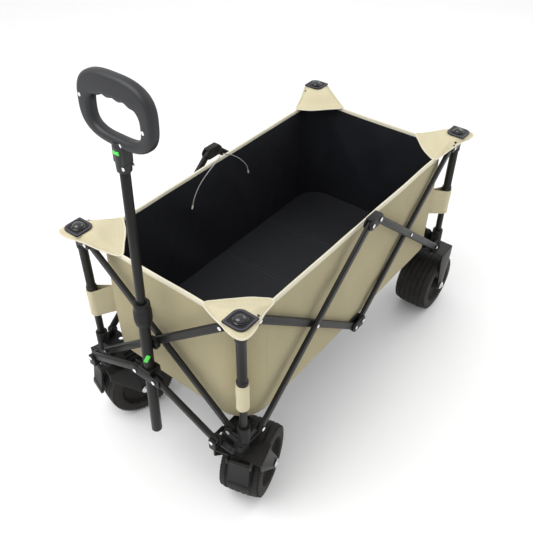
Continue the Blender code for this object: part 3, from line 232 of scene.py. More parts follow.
class Finish(Graph):
    """A material on one Principled shader. Constants go straight on the shader's sockets."""

    def __init__(self, name, **constants):
        self.material = bpy.data.materials.new(name)
        self.material.use_nodes = True
        super().__init__(self.material.node_tree)
        self.shader = self.tree.nodes["Principled BSDF"]
        for socket, value in constants.items():
            self.shader.inputs[socket.replace("_", " ")].default_value = value
        self.places = self.add("ShaderNodeTexCoord")
        self.here = Wire(self, self.places.outputs["Object"])
        self.cloth_map = Wire(self, self.places.outputs["UV"])

    def drive(self, socket, value):
        self.tree.links.new(value.socket, self.shader.inputs[socket])

    def cloud(self, scale, detail=3.0, roughness=0.55, where=None):
        """Soft noise, about 0.5 on average."""
        sockets = {"Vector": where or self.here, "Scale": scale, "Detail": detail,
                   "Roughness": roughness}
        return self.wire("ShaderNodeTexNoise", {}, sockets)

    def grains(self, scale):
        return self.wire("ShaderNodeTexVoronoi", {}, {"Vector": self.here, "Scale": scale})

    def blend(self, share, first, second):
        """A colour between two others."""
        settings = {"data_type": "RGBA", "blend_type": "MIX"}
        sockets = {0: share, 6: first, 7: second}
        return self.wire("ShaderNodeMix", settings, sockets, 2)

    def split(self, vector):
        node = self.add("ShaderNodeSeparateXYZ", {}, {0: vector})
        return [Wire(self, socket) for socket in node.outputs]

    def relief(self, height, strength, distance):
        sockets = {"Height": height, "Strength": strength, "Distance": distance}
        self.drive("Normal", self.wire("ShaderNodeBump", {}, sockets))


def colour(red, green, blue):
    return (red, green, blue, 1.0)


def woven(name, light, dark, pitch, roughness, sheen=0.0, depth=0.00012, mottle=6.0):
    """Plain-woven cloth: threads over and under, uneven in tone, with soft large stains. The gaps
    between threads are painted darker than the crowns, a painted shade in the weave's hollows.
    """
    finish = Finish(name, Sheen_Weight=sheen, Sheen_Roughness=0.5, Specular_IOR_Level=0.3)
    across, up, _ = finish.split(finish.cloth_map)
    warp = (across * (TAU / pitch)).sine()
    weft = (up * (TAU / pitch)).sine()
    threads = (warp * weft) * 0.5 + 0.5
    slub = finish.cloud(220.0, 2.0)
    stain = finish.cloud(mottle, 4.0)
    # The threads term is painted shade in the gaps between threads; slub and stains are the cloth's
    # own uneven tone.
    tone = (threads * 0.30 + slub * 0.35 + stain * 0.55 - 0.10).kept()
    finish.drive("Base Color", finish.blend(tone, dark, light))
    finish.drive("Roughness", (stain * 0.15 + (roughness - 0.07)).kept())
    creases = finish.cloud(26.0, 4.0)
    finish.relief(threads * 0.5 + creases * 1.6 + slub * 0.2, 0.7, depth * 6)
    return finish.material


def powder_coat(name, base, dust, roughness):
    """Baked powder paint on steel: a fine orange peel, rubbed and dusty in patches."""
    finish = Finish(name, Specular_IOR_Level=0.22)
    patches = finish.cloud(14.0, 5.0, 0.6)
    peel = finish.cloud(900.0, 2.0)
    scuffs = (finish.cloud(75.0, 6.0, 0.7) * 3.0 - 1.75).kept()
    finish.drive("Base Color", finish.blend((patches * 0.55 + scuffs * 0.30).kept(), base, dust))
    finish.drive("Roughness", (patches * 0.22 + scuffs * 0.15 + (roughness - 0.14)).kept())
    finish.relief(peel + scuffs * 0.3, 0.35, 0.0002)
    return finish.material


def moulded(name, base, dust, roughness, grain_scale=1500.0, grain_depth=0.00012, **constants):
    """Moulded plastic with a spark-eroded grain and a little dust."""
    finish = Finish(name, **constants)
    grain = finish.grains(grain_scale)
    patches = finish.cloud(22.0, 5.0, 0.6)
    finish.drive("Base Color", finish.blend((patches * 0.7 - 0.05).kept(), base, dust))
    finish.drive("Roughness", (patches * 0.25 + (roughness - 0.12)).kept())
    finish.relief(grain, 0.4, grain_depth)
    return finish.material


def tread_rubber(name):
    """Blown wheel plastic, mottled with dried sand and dust where it has rolled."""
    finish = Finish(name, Specular_IOR_Level=0.22)
    patches = finish.cloud(30.0, 6.0, 0.65)
    specks = (finish.cloud(420.0, 3.0) * 4.0 - 2.2).kept()
    dust = (patches * 0.9 - 0.2 + specks * 0.25).kept()
    finish.drive("Base Color",
                 finish.blend(dust, colour(0.0085, 0.0080, 0.0075), colour(0.050, 0.046, 0.040)))
    finish.drive("Roughness", (dust * 0.25 + 0.62).kept())
    finish.relief(specks + finish.cloud(160.0, 4.0) * 0.6, 0.4, 0.0004)
    return finish.material


def zinc(name):
    """Bright zinc plate with fine turning marks."""
    finish = Finish(name, Metallic=1.0)
    clouds = finish.cloud(180.0, 4.0)
    finish.drive("Base Color",
                 finish.blend(clouds, colour(0.72, 0.72, 0.74), colour(0.92, 0.92, 0.93)))
    finish.drive("Roughness", (clouds * 0.25 + 0.14).kept())
    finish.relief(finish.cloud(1400.0, 2.0), 0.15, 0.0001)
    return finish.material


def twisted_cord(name, pale, dark):
    """Laid thread: strands wind round the cord. The grooves between strands are painted darker, a
    painted shade.
    """
    finish = Finish(name, Sheen_Weight=0.2)
    x, y, z = finish.split(finish.here)
    strands = ((x + y * 1.3 + z * 1.7) * (TAU / 0.0022)).sine() * 0.5 + 0.5
    fuzz = finish.cloud(900.0, 3.0)
    # The strands term paints the grooves between strands darker as painted shade; the fuzz is the
    # thread's own uneven tone.
    finish.drive("Base Color", finish.blend((strands * 0.6 + fuzz * 0.4).kept(), dark, pale))
    finish.drive("Roughness", (fuzz * 0.2 + 0.72).kept())
    finish.relief(strands, 0.6, 0.0004)
    return finish.material


FINISHES = {}


def make_finishes():
    """Every finish of the cart, by the name its pieces ask for."""
    # The wall canvas is the flap's cloth darkened by about a quarter. This is painted shade for the
    # shade that falls on the tub's walls.
    FINISHES["canvas"] = woven("khaki_oxford_canvas", colour(0.46, 0.405, 0.245),
                               colour(0.30, 0.26, 0.145),
                               0.0011, 0.84, sheen=0.12)
    FINISHES["flap"] = woven("flap_canvas", colour(0.66, 0.60, 0.41), colour(0.50, 0.445, 0.29),
                             0.0011, 0.80, sheen=0.12, mottle=18.0)
    FINISHES["tape"] = woven("cream_hem_tape", colour(0.78, 0.74, 0.60), colour(0.58, 0.54, 0.41),
                             0.0016, 0.78, sheen=0.1, mottle=30.0)
    FINISHES["lining"] = woven("navy_black_lining", colour(0.0080, 0.0088, 0.0135),
                               colour(0.0028, 0.0032, 0.0055),
                               0.0013, 0.50, sheen=0.03)
    FINISHES["mat"] = woven("charcoal_floor_mat", colour(0.0135, 0.0142, 0.0180),
                            colour(0.0055, 0.0060, 0.0080),
                            0.0020, 0.62, sheen=0.05)
    FINISHES["thread"] = twisted_cord("sand_thread", colour(0.60, 0.55, 0.40),
                                      colour(0.38, 0.34, 0.23))
    FINISHES["dark_thread"] = twisted_cord("grey_thread", colour(0.060, 0.062, 0.070),
                                           colour(0.028, 0.029, 0.034))
    FINISHES["string"] = twisted_cord("grey_tie_string", colour(0.42, 0.41, 0.40),
                                      colour(0.20, 0.20, 0.20))
    FINISHES["steel"] = powder_coat("black_powder_coat", colour(0.0065, 0.0062, 0.0060),
                                    colour(0.020, 0.0185, 0.017), 0.42)
    FINISHES["plastic"] = moulded("black_moulded_nylon", colour(0.0050, 0.0050, 0.0055),
                                  colour(0.018, 0.017, 0.016),
                                  0.48, Specular_IOR_Level=0.25)
    FINISHES["grip"] = moulded("grip_nylon", colour(0.012, 0.0125, 0.0140),
                               colour(0.026, 0.027, 0.030), 0.44,
                               grain_scale=2200.0, Specular_IOR_Level=0.38)
    FINISHES["knob"] = moulded("glossy_knob", colour(0.008, 0.008, 0.010),
                               colour(0.014, 0.014, 0.017), 0.18,
                               grain_depth=0.00001, Coat_Weight=0.4)
    FINISHES["trim"] = moulded("lavender_grey_trim", colour(0.10, 0.096, 0.135),
                               colour(0.17, 0.165, 0.21), 0.42)
    FINISHES["green"] = moulded("bright_green_plastic", colour(0.05, 0.62, 0.045),
                                colour(0.10, 0.72, 0.09), 0.36)
    FINISHES["rubber"] = tread_rubber("dusty_black_wheel")
    FINISHES["zinc"] = zinc("bright_zinc")


# ---------------------------------------------------------------- meshes
def clean(mesh, gap=1e-6):
    """Doubles merged, faces outward."""
    build = bmesh.new()
    build.from_mesh(mesh)
    bmesh.ops.remove_doubles(build, verts=build.verts, dist=gap)
    bmesh.ops.recalc_face_normals(build, faces=build.faces)
    build.to_mesh(mesh)
    build.free()
    return mesh


def faced_outward(mesh):
    """Faces outward, nothing merged."""
    build = bmesh.new()
    build.from_mesh(mesh)
    bmesh.ops.recalc_face_normals(build, faces=build.faces)
    build.to_mesh(mesh)
    build.free()
    return mesh


def joined(name, meshes):
    """Several meshes as one."""
    build = bmesh.new()
    for mesh in meshes:
        build.from_mesh(mesh)
    made = bpy.data.meshes.new(name)
    build.to_mesh(made)
    build.free()
    for mesh in meshes:
        bpy.data.meshes.remove(mesh)
    return made


def from_object(stand_in):
    """The evaluated mesh of a stand-in, which is then removed."""
    bpy.context.scene.collection.objects.link(stand_in)
    graph = bpy.context.evaluated_depsgraph_get()
    mesh = bpy.data.meshes.new_from_object(stand_in.evaluated_get(graph))
    data = stand_in.data
    bpy.data.objects.remove(stand_in)
    if isinstance(data, bpy.types.Mesh):
        bpy.data.meshes.remove(data)
    else:
        bpy.data.curves.remove(data)
    return mesh


def filleted(points, radius, steps=4, closed=False):
    """A polyline with its corners rounded."""
    points = [Vector(point) for point in points]
    count = len(points)
    made = []
    for i, point in enumerate(points):
        if not closed and i in (0, count - 1):
            made.append(point)
            continue
        before = points[i - 1] - point
        after = points[(i + 1) % count] - point
        reach = min(radius, before.length * 0.49, after.length * 0.49)
        first = point + before.normalized() * reach
        last = point + after.normalized() * reach
        for step in range(steps + 1):
            t = step / steps
            made.append(first * (1 - t) ** 2 + point * 2 * t * (1 - t) + last * t ** 2)
    return made


def arc(centre, radius, start, end, steps):
    """Points on an arc, angles in degrees."""
    angles = [math.radians(start + (end - start) * i / steps) for i in range(steps + 1)]
    return [(centre[0] + radius * math.cos(a), centre[1] + radius * math.sin(a)) for a in angles]


def capsule(length, radius, steps=12):
    return arc((0, 0), radius, 90, 270, steps) + arc((length, 0), radius, -90, 90, steps)


def lathe(profile, place, steps=40, closed=False, fillet=0.0):
    """A profile of (radius, height) points turned about local Z, closed at its poles."""
    if fillet:
        profile = [(p.x, p.y) for p in filleted(profile, fillet, 3, closed)]
    points, rings, faces = [], [], []
    for radius, height in profile:
        if radius < 1e-7:
            rings.append([len(points)])
            points.append((0, 0, height))
            continue
        rings.append(list(range(len(points), len(points) + steps)))
        points += [(radius * math.cos(TAU * i / steps), radius * math.sin(TAU * i / steps), height)
                   for i in range(steps)]
    pairs = list(zip(rings, rings[1:] + rings[:1])) if closed else list(zip(rings, rings[1:]))
    for low, high in pairs:
        for i in range(steps):
            j = (i + 1) % steps
            quad = [low[i % len(low)], low[j % len(low)], high[j % len(high)], high[i % len(high)]]
            face = list(dict.fromkeys(quad))
            if len(face) > 2:
                faces.append(face)
    mesh = bpy.data.meshes.new("turned")
    mesh.from_pydata(points, [], faces)
    clean(mesh)
    mesh.transform(place)
    return mesh


def rod(start, end, radius, fillet=0.0, steps=32):
    start, end = Vector(start), Vector(end)
    length = (end - start).length
    profile = [(0, 0), (radius, 0), (radius, length), (0, length)]
    return lathe(profile, along(end - start, start), steps, fillet=fillet)


def plate(loops, thickness, bevel, place, bevel_steps=3):
    """A flat outline with holes and rounded edges, centred on the frame's XY plane."""
    curve = bpy.data.curves.new("outline", "CURVE")
    curve.dimensions = "2D"
    curve.fill_mode = "BOTH"
    curve.extrude = thickness / 2 - bevel
    curve.bevel_depth = bevel
    curve.bevel_resolution = bevel_steps
    curve.offset = -bevel
    for loop in loops:
        spline = curve.splines.new("POLY")
        spline.points.add(len(loop) - 1)
        for point, spot in zip(spline.points, loop):
            point.co = (spot[0], spot[1], 0, 1)
        spline.use_cyclic_u = True
    mesh = clean(from_object(bpy.data.objects.new("outline", curve)))
    mesh.transform(place)
    return mesh


def tube_along(points, radius, closed=False, sides=3):
    """A round bar along points."""
    curve = bpy.data.curves.new("tube", "CURVE")
    curve.dimensions = "3D"
    curve.bevel_depth = radius
    curve.bevel_resolution = sides
    curve.use_fill_caps = not closed
    spline = curve.splines.new("POLY")
    spline.points.add(len(points) - 1)
    for point, spot in zip(spline.points, points):
        point.co = (*spot, 1)
    spline.use_cyclic_u = closed
    return clean(from_object(bpy.data.objects.new("tube", curve)))


def rounded_block(low, high, bevel, place=None, segments=3):
    low, high = Vector(low), Vector(high)
    build = bmesh.new()
    bmesh.ops.create_cube(build, size=1)
    bmesh.ops.scale(build, vec=high - low, verts=build.verts)
    bmesh.ops.translate(build, vec=(low + high) / 2, verts=build.verts)
    bmesh.ops.bevel(build, geom=build.edges, offset=bevel, segments=segments, profile=0.5,
                    affect="EDGES")
    mesh = bpy.data.meshes.new("block")
    build.to_mesh(mesh)
    build.free()
    mesh.transform(place or Matrix())
    return clean(mesh)


def sheet_mesh(rows, thickness, closed_round=False):
    """A cloth from rows of points, as a closed thin shell with a cloth map in metres."""
    wide = len(rows[0])
    points = [tuple(point) for row in rows for point in row]
    span = wide if closed_round else wide - 1
    faces = []
    for r in range(len(rows) - 1):
        for c in range(span):
            d = (c + 1) % wide
            faces.append((r * wide + c, r * wide + d, (r + 1) * wide + d, (r + 1) * wide + c))
    mesh = bpy.data.meshes.new("cloth")
    mesh.from_pydata(points, [], faces)
    run = [0.0]
    for c in range(wide):
        run.append(run[-1] + (Vector(rows[0][(c + 1) % wide]) - Vector(rows[0][c])).length)
    climb = [0.0]
    for r in range(1, len(rows)):
        climb.append(climb[-1] + (Vector(rows[r][0]) - Vector(rows[r - 1][0])).length)
    chart = mesh.uv_layers.new(name="cloth")
    for face_index, face in enumerate(mesh.polygons):
        r, c = divmod(face_index, span)
        for loop, (dc, dr) in zip(face.loop_indices, ((0, 0), (1, 0), (1, 1), (0, 1))):
            chart.data[loop].uv = (run[c + dc], climb[r + dr])
    return thickened(mesh, thickness)


def thickened(mesh, thickness):
    stand_in = bpy.data.objects.new("cloth", mesh)
    shell = stand_in.modifiers.new("thickness", "SOLIDIFY")
    shell.thickness = thickness
    shell.offset = 0
    shell.use_even_offset = True
    return faced_outward(from_object(stand_in))


def flat_map(mesh):
    """A cloth map on a mesh that has none, seen from above."""
    chart = mesh.uv_layers.new(name="cloth")
    for loop in mesh.loops:
        spot = mesh.vertices[loop.vertex_index].co
        chart.data[loop.index].uv = (spot.x, spot.y)
    return mesh


def piece(name, mesh, body, finish, replaces=(), sharp=34):
    """Makes a mesh a named piece that rides on a body."""
    mesh.name = name
    mesh.materials.clear()
    mesh.materials.append(FINISHES[finish])
    mesh.shade_smooth()
    mesh.set_sharp_from_angle(angle=math.radians(sharp))
    made = bpy.data.objects.new(name, mesh)
    bpy.context.scene.collection.objects.link(made)
    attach(made, body)
    if replaces:
        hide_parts(*replaces)
    return made


def softened(node, finish, width=0.0006):
    """A frame node with its doubles merged and its edges rounded, standing for the node."""
    mesh = frame["nodes"][node].data.copy()
    build = bmesh.new()
    build.from_mesh(mesh)
    bmesh.ops.remove_doubles(build, verts=build.verts, dist=2e-6)
    bmesh.ops.dissolve_limit(build, angle_limit=math.radians(0.6), verts=build.verts,
                             edges=build.edges)
    build.to_mesh(mesh)
    build.free()
    if width:
        stand_in = bpy.data.objects.new("softened", mesh)
        edge = stand_in.modifiers.new("edges", "BEVEL")
        edge.width = width
        edge.segments = 2
        edge.limit_method = "ANGLE"
        edge.angle_limit = math.radians(38)
        edge.use_clamp_overlap = False
        mesh = from_object(stand_in)
    body = frame["nodes"][node]["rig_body"]
    return piece(node + "_finished", mesh, body, finish, [node])


# ---------------------------------------------------------------- repeated things
def new_tree(name, inputs):
    """A Geometry Nodes tree with named inputs. Returns its graph and the wires of its inputs."""
    tree = bpy.data.node_groups.new(name, "GeometryNodeTree")
    tree.interface.new_socket("Geometry", in_out="INPUT", socket_type="NodeSocketGeometry")
    for label, kind, value in inputs:
        socket = tree.interface.new_socket(label, in_out="INPUT", socket_type=kind)
        if value is not None:
            socket.default_value = value
    tree.interface.new_socket("Geometry", in_out="OUTPUT", socket_type="NodeSocketGeometry")
    graph = Graph(tree)
    entry = graph.add("NodeGroupInput")
    return graph, {socket.name: Wire(graph, socket) for socket in entry.outputs if socket.name}


def end_tree(graph, geometry, material):
    """Realizes, smooths and dresses what the tree made."""
    realized = graph.wire("GeometryNodeRealizeInstances", {}, {0: geometry})
    dressed = graph.wire("GeometryNodeSetMaterial", {},
                         {"Geometry": realized, "Material": material})
    exit_node = graph.add("NodeGroupOutput")
    graph.tree.links.new(dressed.socket, exit_node.inputs[0])
    return graph.tree


def together(graph, *wires):
    node = graph.add("GeometryNodeJoinGeometry")
    for wire in wires:
        graph.tree.links.new(wire.socket, node.inputs[0])
    return Wire(graph, node.outputs[0])


def head_tree(kind):
    """Rivet, bolt or screw heads on the points of a mesh, each facing the way its point says."""
    floats = [("Head radius", "NodeSocketFloat", 0.0036),
              ("Head height", "NodeSocketFloat", 0.0018),
              ("Washer radius", "NodeSocketFloat", 0.0050),
              ("Material", "NodeSocketMaterial", None)]
    graph, given = new_tree(f"{kind}_heads", floats)
    washer = graph.wire("GeometryNodeMeshCylinder", {}, {
        "Vertices": 24, "Radius": given["Washer radius"], "Depth": 0.0012})
    if kind == "bolt":
        head = graph.wire("GeometryNodeMeshCylinder", {}, {
            "Vertices": 6, "Radius": given["Head radius"], "Depth": given["Head height"] * 2})
        tip = graph.wire("GeometryNodeMeshCylinder", {}, {
            "Vertices": 12, "Radius": given["Head radius"] * 0.5,
            "Depth": given["Head height"] * 3})
        shape = together(graph, head, tip, washer)
    else:
        ball = graph.wire("GeometryNodeMeshUVSphere", {}, {
            "Segments": 20, "Rings": 10, "Radius": given["Head radius"]})
        flat = graph.wire("GeometryNodeTransform", {}, {
            "Geometry": ball,
            "Scale": graph.wire("ShaderNodeCombineXYZ", {}, {
                0: 1.0, 1: 1.0, 2: graph.wire("ShaderNodeMath", {"operation": "DIVIDE"}, {
                    0: given["Head height"], 1: given["Head radius"]})})})
        shape = together(graph, flat, washer)
    facing = graph.wire("GeometryNodeInputNamedAttribute", {"data_type": "FLOAT_VECTOR"},
                        {"Name": "facing"})
    scale = graph.wire("GeometryNodeInputNamedAttribute", {"data_type": "FLOAT"},
                       {"Name": "scale_by"})
    turn = graph.wire("FunctionNodeAlignRotationToVector", {"axis": "Z"}, {"Vector": facing})
    heads = graph.wire("GeometryNodeInstanceOnPoints", {}, {
        "Points": given["Geometry"], "Instance": shape, "Rotation": turn, "Scale": scale})
    return end_tree(graph, heads, given["Material"])


def stitch_tree():
    """Short threads along the edges of a mesh, one every pitch."""
    graph, given = new_tree("stitches", [
        ("Pitch", "NodeSocketFloat", 0.0065), ("Thread radius", "NodeSocketFloat", 0.0006),
        ("Thread length", "NodeSocketFloat", 0.0042), ("Material", "NodeSocketMaterial", None)])
    line = graph.wire("GeometryNodeMeshToCurve", {}, {"Mesh": given["Geometry"]})
    spaced = graph.wire("GeometryNodeResampleCurve", {"mode": "LENGTH"}, {
        "Curve": line, "Length": given["Pitch"]})
    thread = graph.wire("GeometryNodeMeshUVSphere", {}, {"Segments": 6, "Rings": 4, "Radius": 1.0})
    shape = graph.wire("GeometryNodeTransform", {}, {
        "Geometry": thread,
        "Scale": graph.wire("ShaderNodeCombineXYZ", {}, {
            0: given["Thread radius"], 1: given["Thread radius"],
            2: given["Thread length"] * 0.5})})
    heading = graph.wire("GeometryNodeInputTangent")
    turn = graph.wire("FunctionNodeAlignRotationToVector", {"axis": "Z"}, {"Vector": heading})
    rows = graph.wire("GeometryNodeInstanceOnPoints", {}, {
        "Points": spaced, "Instance": shape, "Rotation": turn})
    return end_tree(graph, rows, given["Material"])


def rib_tree():
    """Ribs that stand round a wheel's shoulder."""
    graph, given = new_tree("shoulder_ribs", [
        ("Ribs", "NodeSocketInt", 72), ("Circle radius", "NodeSocketFloat", 0.0840),
        ("Rib width", "NodeSocketFloat", 0.0030), ("Rib length", "NodeSocketFloat", 0.0090),
        ("Rib depth", "NodeSocketFloat", 0.0075), ("Height", "NodeSocketFloat", 0.0440),
        ("Material", "NodeSocketMaterial", None)])
    circle = graph.wire("GeometryNodeCurvePrimitiveCircle", {"mode": "RADIUS"}, {
        "Resolution": given["Ribs"], "Radius": given["Circle radius"]})
    size = graph.wire("ShaderNodeCombineXYZ", {}, {
        0: given["Rib depth"], 1: given["Rib width"], 2: given["Rib length"]})
    block = graph.wire("GeometryNodeMeshCube", {}, {"Size": size})
    outward = graph.wire("GeometryNodeInputPosition")
    turn = graph.wire("FunctionNodeAlignRotationToVector", {"axis": "X"}, {"Vector": outward})
    ribs = graph.wire("GeometryNodeInstanceOnPoints", {}, {
        "Points": circle, "Instance": block, "Rotation": turn})
    lift = graph.wire("ShaderNodeCombineXYZ", {}, {0: 0.0, 1: 0.0, 2: given["Height"]})
    upper = graph.wire("GeometryNodeTransform", {}, {"Geometry": ribs, "Translation": lift})
    drop = graph.wire("ShaderNodeCombineXYZ", {}, {0: 0.0, 1: 0.0, 2: given["Height"] * -1.0})
    lower = graph.wire("GeometryNodeTransform", {}, {"Geometry": ribs, "Translation": drop})
    return end_tree(graph, together(graph, upper, lower), given["Material"])


TREES = {}


def grown(base_mesh, tree_name, finish, **sizes):
    """The plain mesh that a tree makes on a base mesh."""
    makers = {"rivet": lambda: head_tree("rivet"), "bolt": lambda: head_tree("bolt"),
              "stitch": stitch_tree, "rib": rib_tree}
    if tree_name not in TREES:
        TREES[tree_name] = makers[tree_name]()
    tree = TREES[tree_name]
    stand_in = bpy.data.objects.new("grown", base_mesh)
    growth = stand_in.modifiers.new("growth", "NODES")
    growth.node_group = tree
    by_name = {item.name: item.identifier for item in tree.interface.items_tree
               if item.in_out == "INPUT"}
    growth[by_name["Material"]] = FINISHES[finish]
    for label, value in sizes.items():
        growth[by_name[label.replace("_", " ")]] = value
    return from_object(stand_in)


def heads(name, body, spots, kind="rivet", finish="zinc", slot="black_steel", **sizes):
    """Fixing heads at (place, facing, scale) spots of one body."""
    mesh = bpy.data.meshes.new("spots")
    mesh.from_pydata([tuple(place) for place, _, _ in spots], [], [])
    mesh.attributes.new("facing", "FLOAT_VECTOR", "POINT")
    mesh.attributes.new("scale_by", "FLOAT", "POINT")
    for i, (_, direction, size) in enumerate(spots):
        mesh.attributes["facing"].data[i].vector = Vector(direction).normalized()
        mesh.attributes["scale_by"].data[i].value = size
    return piece(name, grown(mesh, kind, finish, **sizes), body, finish)


def stitches(name, body, lines, finish="thread", slot="khaki_canvas", **sizes):
    """Stitches of one body along lines of points."""
    points, edges = [], []
    for line in lines:
        edges += [(len(points) + i, len(points) + i + 1) for i in range(len(line) - 1)]
        points += [tuple(point) for point in line]
    mesh = bpy.data.meshes.new("seam")
    mesh.from_pydata(points, edges, [])
    return piece(name, grown(mesh, "stitch", finish, **sizes), body, finish)


# ---------------------------------------------------------------- cloth shapes
def ruffle(place, scale, depth):
    """Gentle, repeatable unevenness for cloth."""
    return depth * noise.noise(Vector(place) * scale)


def crease(across, up, seed):
    """Soft slanting creases, from 0 to 1, on a wall of the tub."""
    first = noise.noise(Vector((across * 6.5 + up * 3.6, up * 2.0 - across, seed)))
    second = noise.noise(Vector((across * 14.0 - up * 8.0, up * 3.6, seed + 7.0)))
    return 1 - abs(first) * 2.4 - abs(second) * 1.1


def wall_plan(kind, place):
    """The plan line of a wall: a side's straight run, or an end's run with both rounded corners."""
    half_x = HALF_ACROSS - WALL_INSET_SIDE
    half_y = HALF_ALONG - WALL_INSET_END
    if kind == "side":
        stop = half_y - TUB_CORNER
        count = 72
        return [Vector((SIDES[place] * half_x, MIDDLE_Y - stop + 2 * stop * i / count,
                        0)) for i in range(count + 1)]
    sign = ENDS[place]
    radius = TUB_CORNER
    flat = half_x - radius
    left = [(flat + radius * math.cos(a), half_y - radius + radius * math.sin(a))
            for a in (math.pi / 2 * i / 10 for i in range(11))]
    straight = [(flat - 2 * flat * i / 30, half_y) for i in range(1, 30)]
    right = [(-x, y) for x, y in reversed(left)]
    return [Vector((x, MIDDLE_Y + sign * y, 0)) for x, y in left + straight + right]


def outward_of(plan, index):
    """The outboard direction of a plan line at one of its points."""
    before = plan[max(index - 1, 0)]
    after = plan[min(index + 1, len(plan) - 1)]
    run = (after - before).normalized()
    out = Vector((run.y, -run.x, 0))
    centre = Vector((0, MIDDLE_Y, 0))
    return out if out.dot(plan[index] - centre) > 0 else -out


def rim_z(place):
    """The rim dips a little between its supports."""
    return TUB_TOP_Z - 0.0015 + ruffle((place.x, place.y, 3.0), 9.0, 0.0020)


def wall_rows(kind, place, offset, swell, ruffle_depth, seed):
    plan = wall_plan(kind, place)
    rows = []
    levels = 30
    for level in range(levels + 1):
        share = level / levels
        row = []
        for i, spot in enumerate(plan):
            out = outward_of(plan, i)
            high = rim_z(spot)
            z = TUB_BOTTOM_Z + (high - TUB_BOTTOM_Z) * share
            across = spot.y if kind == "side" else spot.x
            edge = math.sin(math.pi * min(1, max(0, i / (len(plan) - 1)))) ** 0.5
            body = math.sin(math.pi * min(share * 1.02, 1)) ** 0.7
            folds = crease(across, z, seed)
            shift = (offset + swell * body * edge
                     + ruffle_depth * folds * body * (0.35 + 0.65 * edge))
            row.append(Vector((spot.x, spot.y, z)) + out * shift)
        rows.append(row)
    return rows


def squashed(made, kind):
    """Gives a piece of the tub its own copy of its mesh."""
    if kind == "side":
        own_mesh(made)
    elif kind == "end":
        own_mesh(made)
    else:
        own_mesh(made)
    return made


def wall_body(kind, place):
    return f"{place}_top_hinge" if kind == "side" else f"{place}_left_upper_post"


# ---------------------------------------------------------------- user settings
class CartSettings(bpy.types.PropertyGroup):
    canvas_swell: bpy.props.FloatProperty(
        name="Canvas swell", description="How far the outer canvas bows out between its edges",
        default=0.0022, min=0.0, max=0.006, unit="LENGTH")
    crease_depth: bpy.props.FloatProperty(
        name="Crease depth", description="Depth of the soft creases in the canvas and the lining",
        default=0.0042, min=0.0, max=0.006, unit="LENGTH")
    stitch_pitch: bpy.props.FloatProperty(
        name="Stitch pitch", description="Distance from one stitch to the next",
        default=0.0065, min=0.003, max=0.02, unit="LENGTH")
    hem_height: bpy.props.FloatProperty(
        name="Hem height", description="Height of the tape that binds the tub's rim",
        default=0.011, min=0.004, max=0.02, unit="LENGTH")
    flap_reach: bpy.props.FloatProperty(
        name="Flap reach", description="How far a corner flap runs along the rim from its post",
        default=0.118, min=0.08, max=0.14, unit="LENGTH")


class WheelSettings(bpy.types.PropertyGroup):
    grooves: bpy.props.IntProperty(
        name="Tread grooves", description="Grooves that run round a wheel's tread",
        default=5, min=1, max=8)
    groove_depth: bpy.props.FloatProperty(
        name="Groove depth", description="Depth of a tread groove",
        default=0.0030, min=0.0, max=0.006, unit="LENGTH")
    ribs: bpy.props.IntProperty(
        name="Shoulder ribs", description="Ribs round each shoulder of a wheel",
        default=64, min=12, max=120)


class StageSettings(bpy.types.PropertyGroup):
    floor_shade: bpy.props.FloatVectorProperty(
        name="Floor colour", description="Colour of the studio floor", subtype="COLOR",
        default=(0.92, 0.92, 0.92), min=0.0, max=1.0)
    key_power: bpy.props.FloatProperty(
        name="Key light", description="Power of the large overhead light",
        default=42.0, min=0.0, unit="POWER")
    sky: bpy.props.FloatProperty(
        name="Surround", description="Strength of the white surround",
        default=0.95, min=0.0, max=3.0)


# ---------------------------------------------------------------- camera and cords
class CART_OT_camera(bpy.types.Operator):
    """Sets the camera above the front left corner of the cart"""
    bl_idname = "cart.camera"
    bl_label = "Camera"

    def execute(self, context):
        forward = Vector((-0.4711, 0.5996, -0.6470)).normalized()
        right = Vector((0.7849, 0.6196, 0.0027))
        right = (right - forward * right.dot(forward)).normalized()
        up = right.cross(forward)
        data = bpy.data.cameras.new("camera")
        data.lens = 45.3
        data.sensor_width = 36
        data.clip_start = 0.01
        camera = bpy.data.objects.new("camera", data)
        turn = Matrix((right, up, -forward)).transposed().to_4x4()
        camera.matrix_world = Matrix.Translation(Vector((0.8130, -1.1265, 1.4917))) @ turn
        context.scene.collection.objects.link(camera)
        context.scene.camera = camera
        return {"FINISHED"}


STRING_RADIUS = 0.0013
STRING_ROUTES = {
    "front": [
        (-0.2120, -0.006, 0.5900), (-0.2100, -0.010, 0.5880), (-0.2090, -0.018, 0.5840),
        (-0.2090, -0.028, 0.5790), (-0.2095, -0.039, 0.5735), (-0.2100, -0.050, 0.5675),
        (-0.2105, -0.061, 0.5610), (-0.2110, -0.072, 0.5540), (-0.2110, -0.083, 0.5465),
        (-0.2105, -0.093, 0.5390), (-0.2095, -0.102, 0.5310), (-0.2085, -0.110, 0.5225),
        (-0.2080, -0.116, 0.5135), (-0.2080, -0.120, 0.5040), (-0.2080, -0.123, 0.4950),
    ],
    "rear": [
        (-0.2120, 0.006, 0.5900), (-0.2100, 0.010, 0.5880), (-0.2090, 0.017, 0.5840),
        (-0.2090, 0.026, 0.5790), (-0.2095, 0.035, 0.5735), (-0.2100, 0.044, 0.5670),
        (-0.2105, 0.053, 0.5600), (-0.2110, 0.062, 0.5525), (-0.2110, 0.070, 0.5445),
        (-0.2105, 0.078, 0.5365), (-0.2095, 0.085, 0.5280), (-0.2085, 0.091, 0.5195),
        (-0.2080, 0.096, 0.5105), (-0.2080, 0.099, 0.5010), (-0.2080, 0.101, 0.4915),
    ],
}


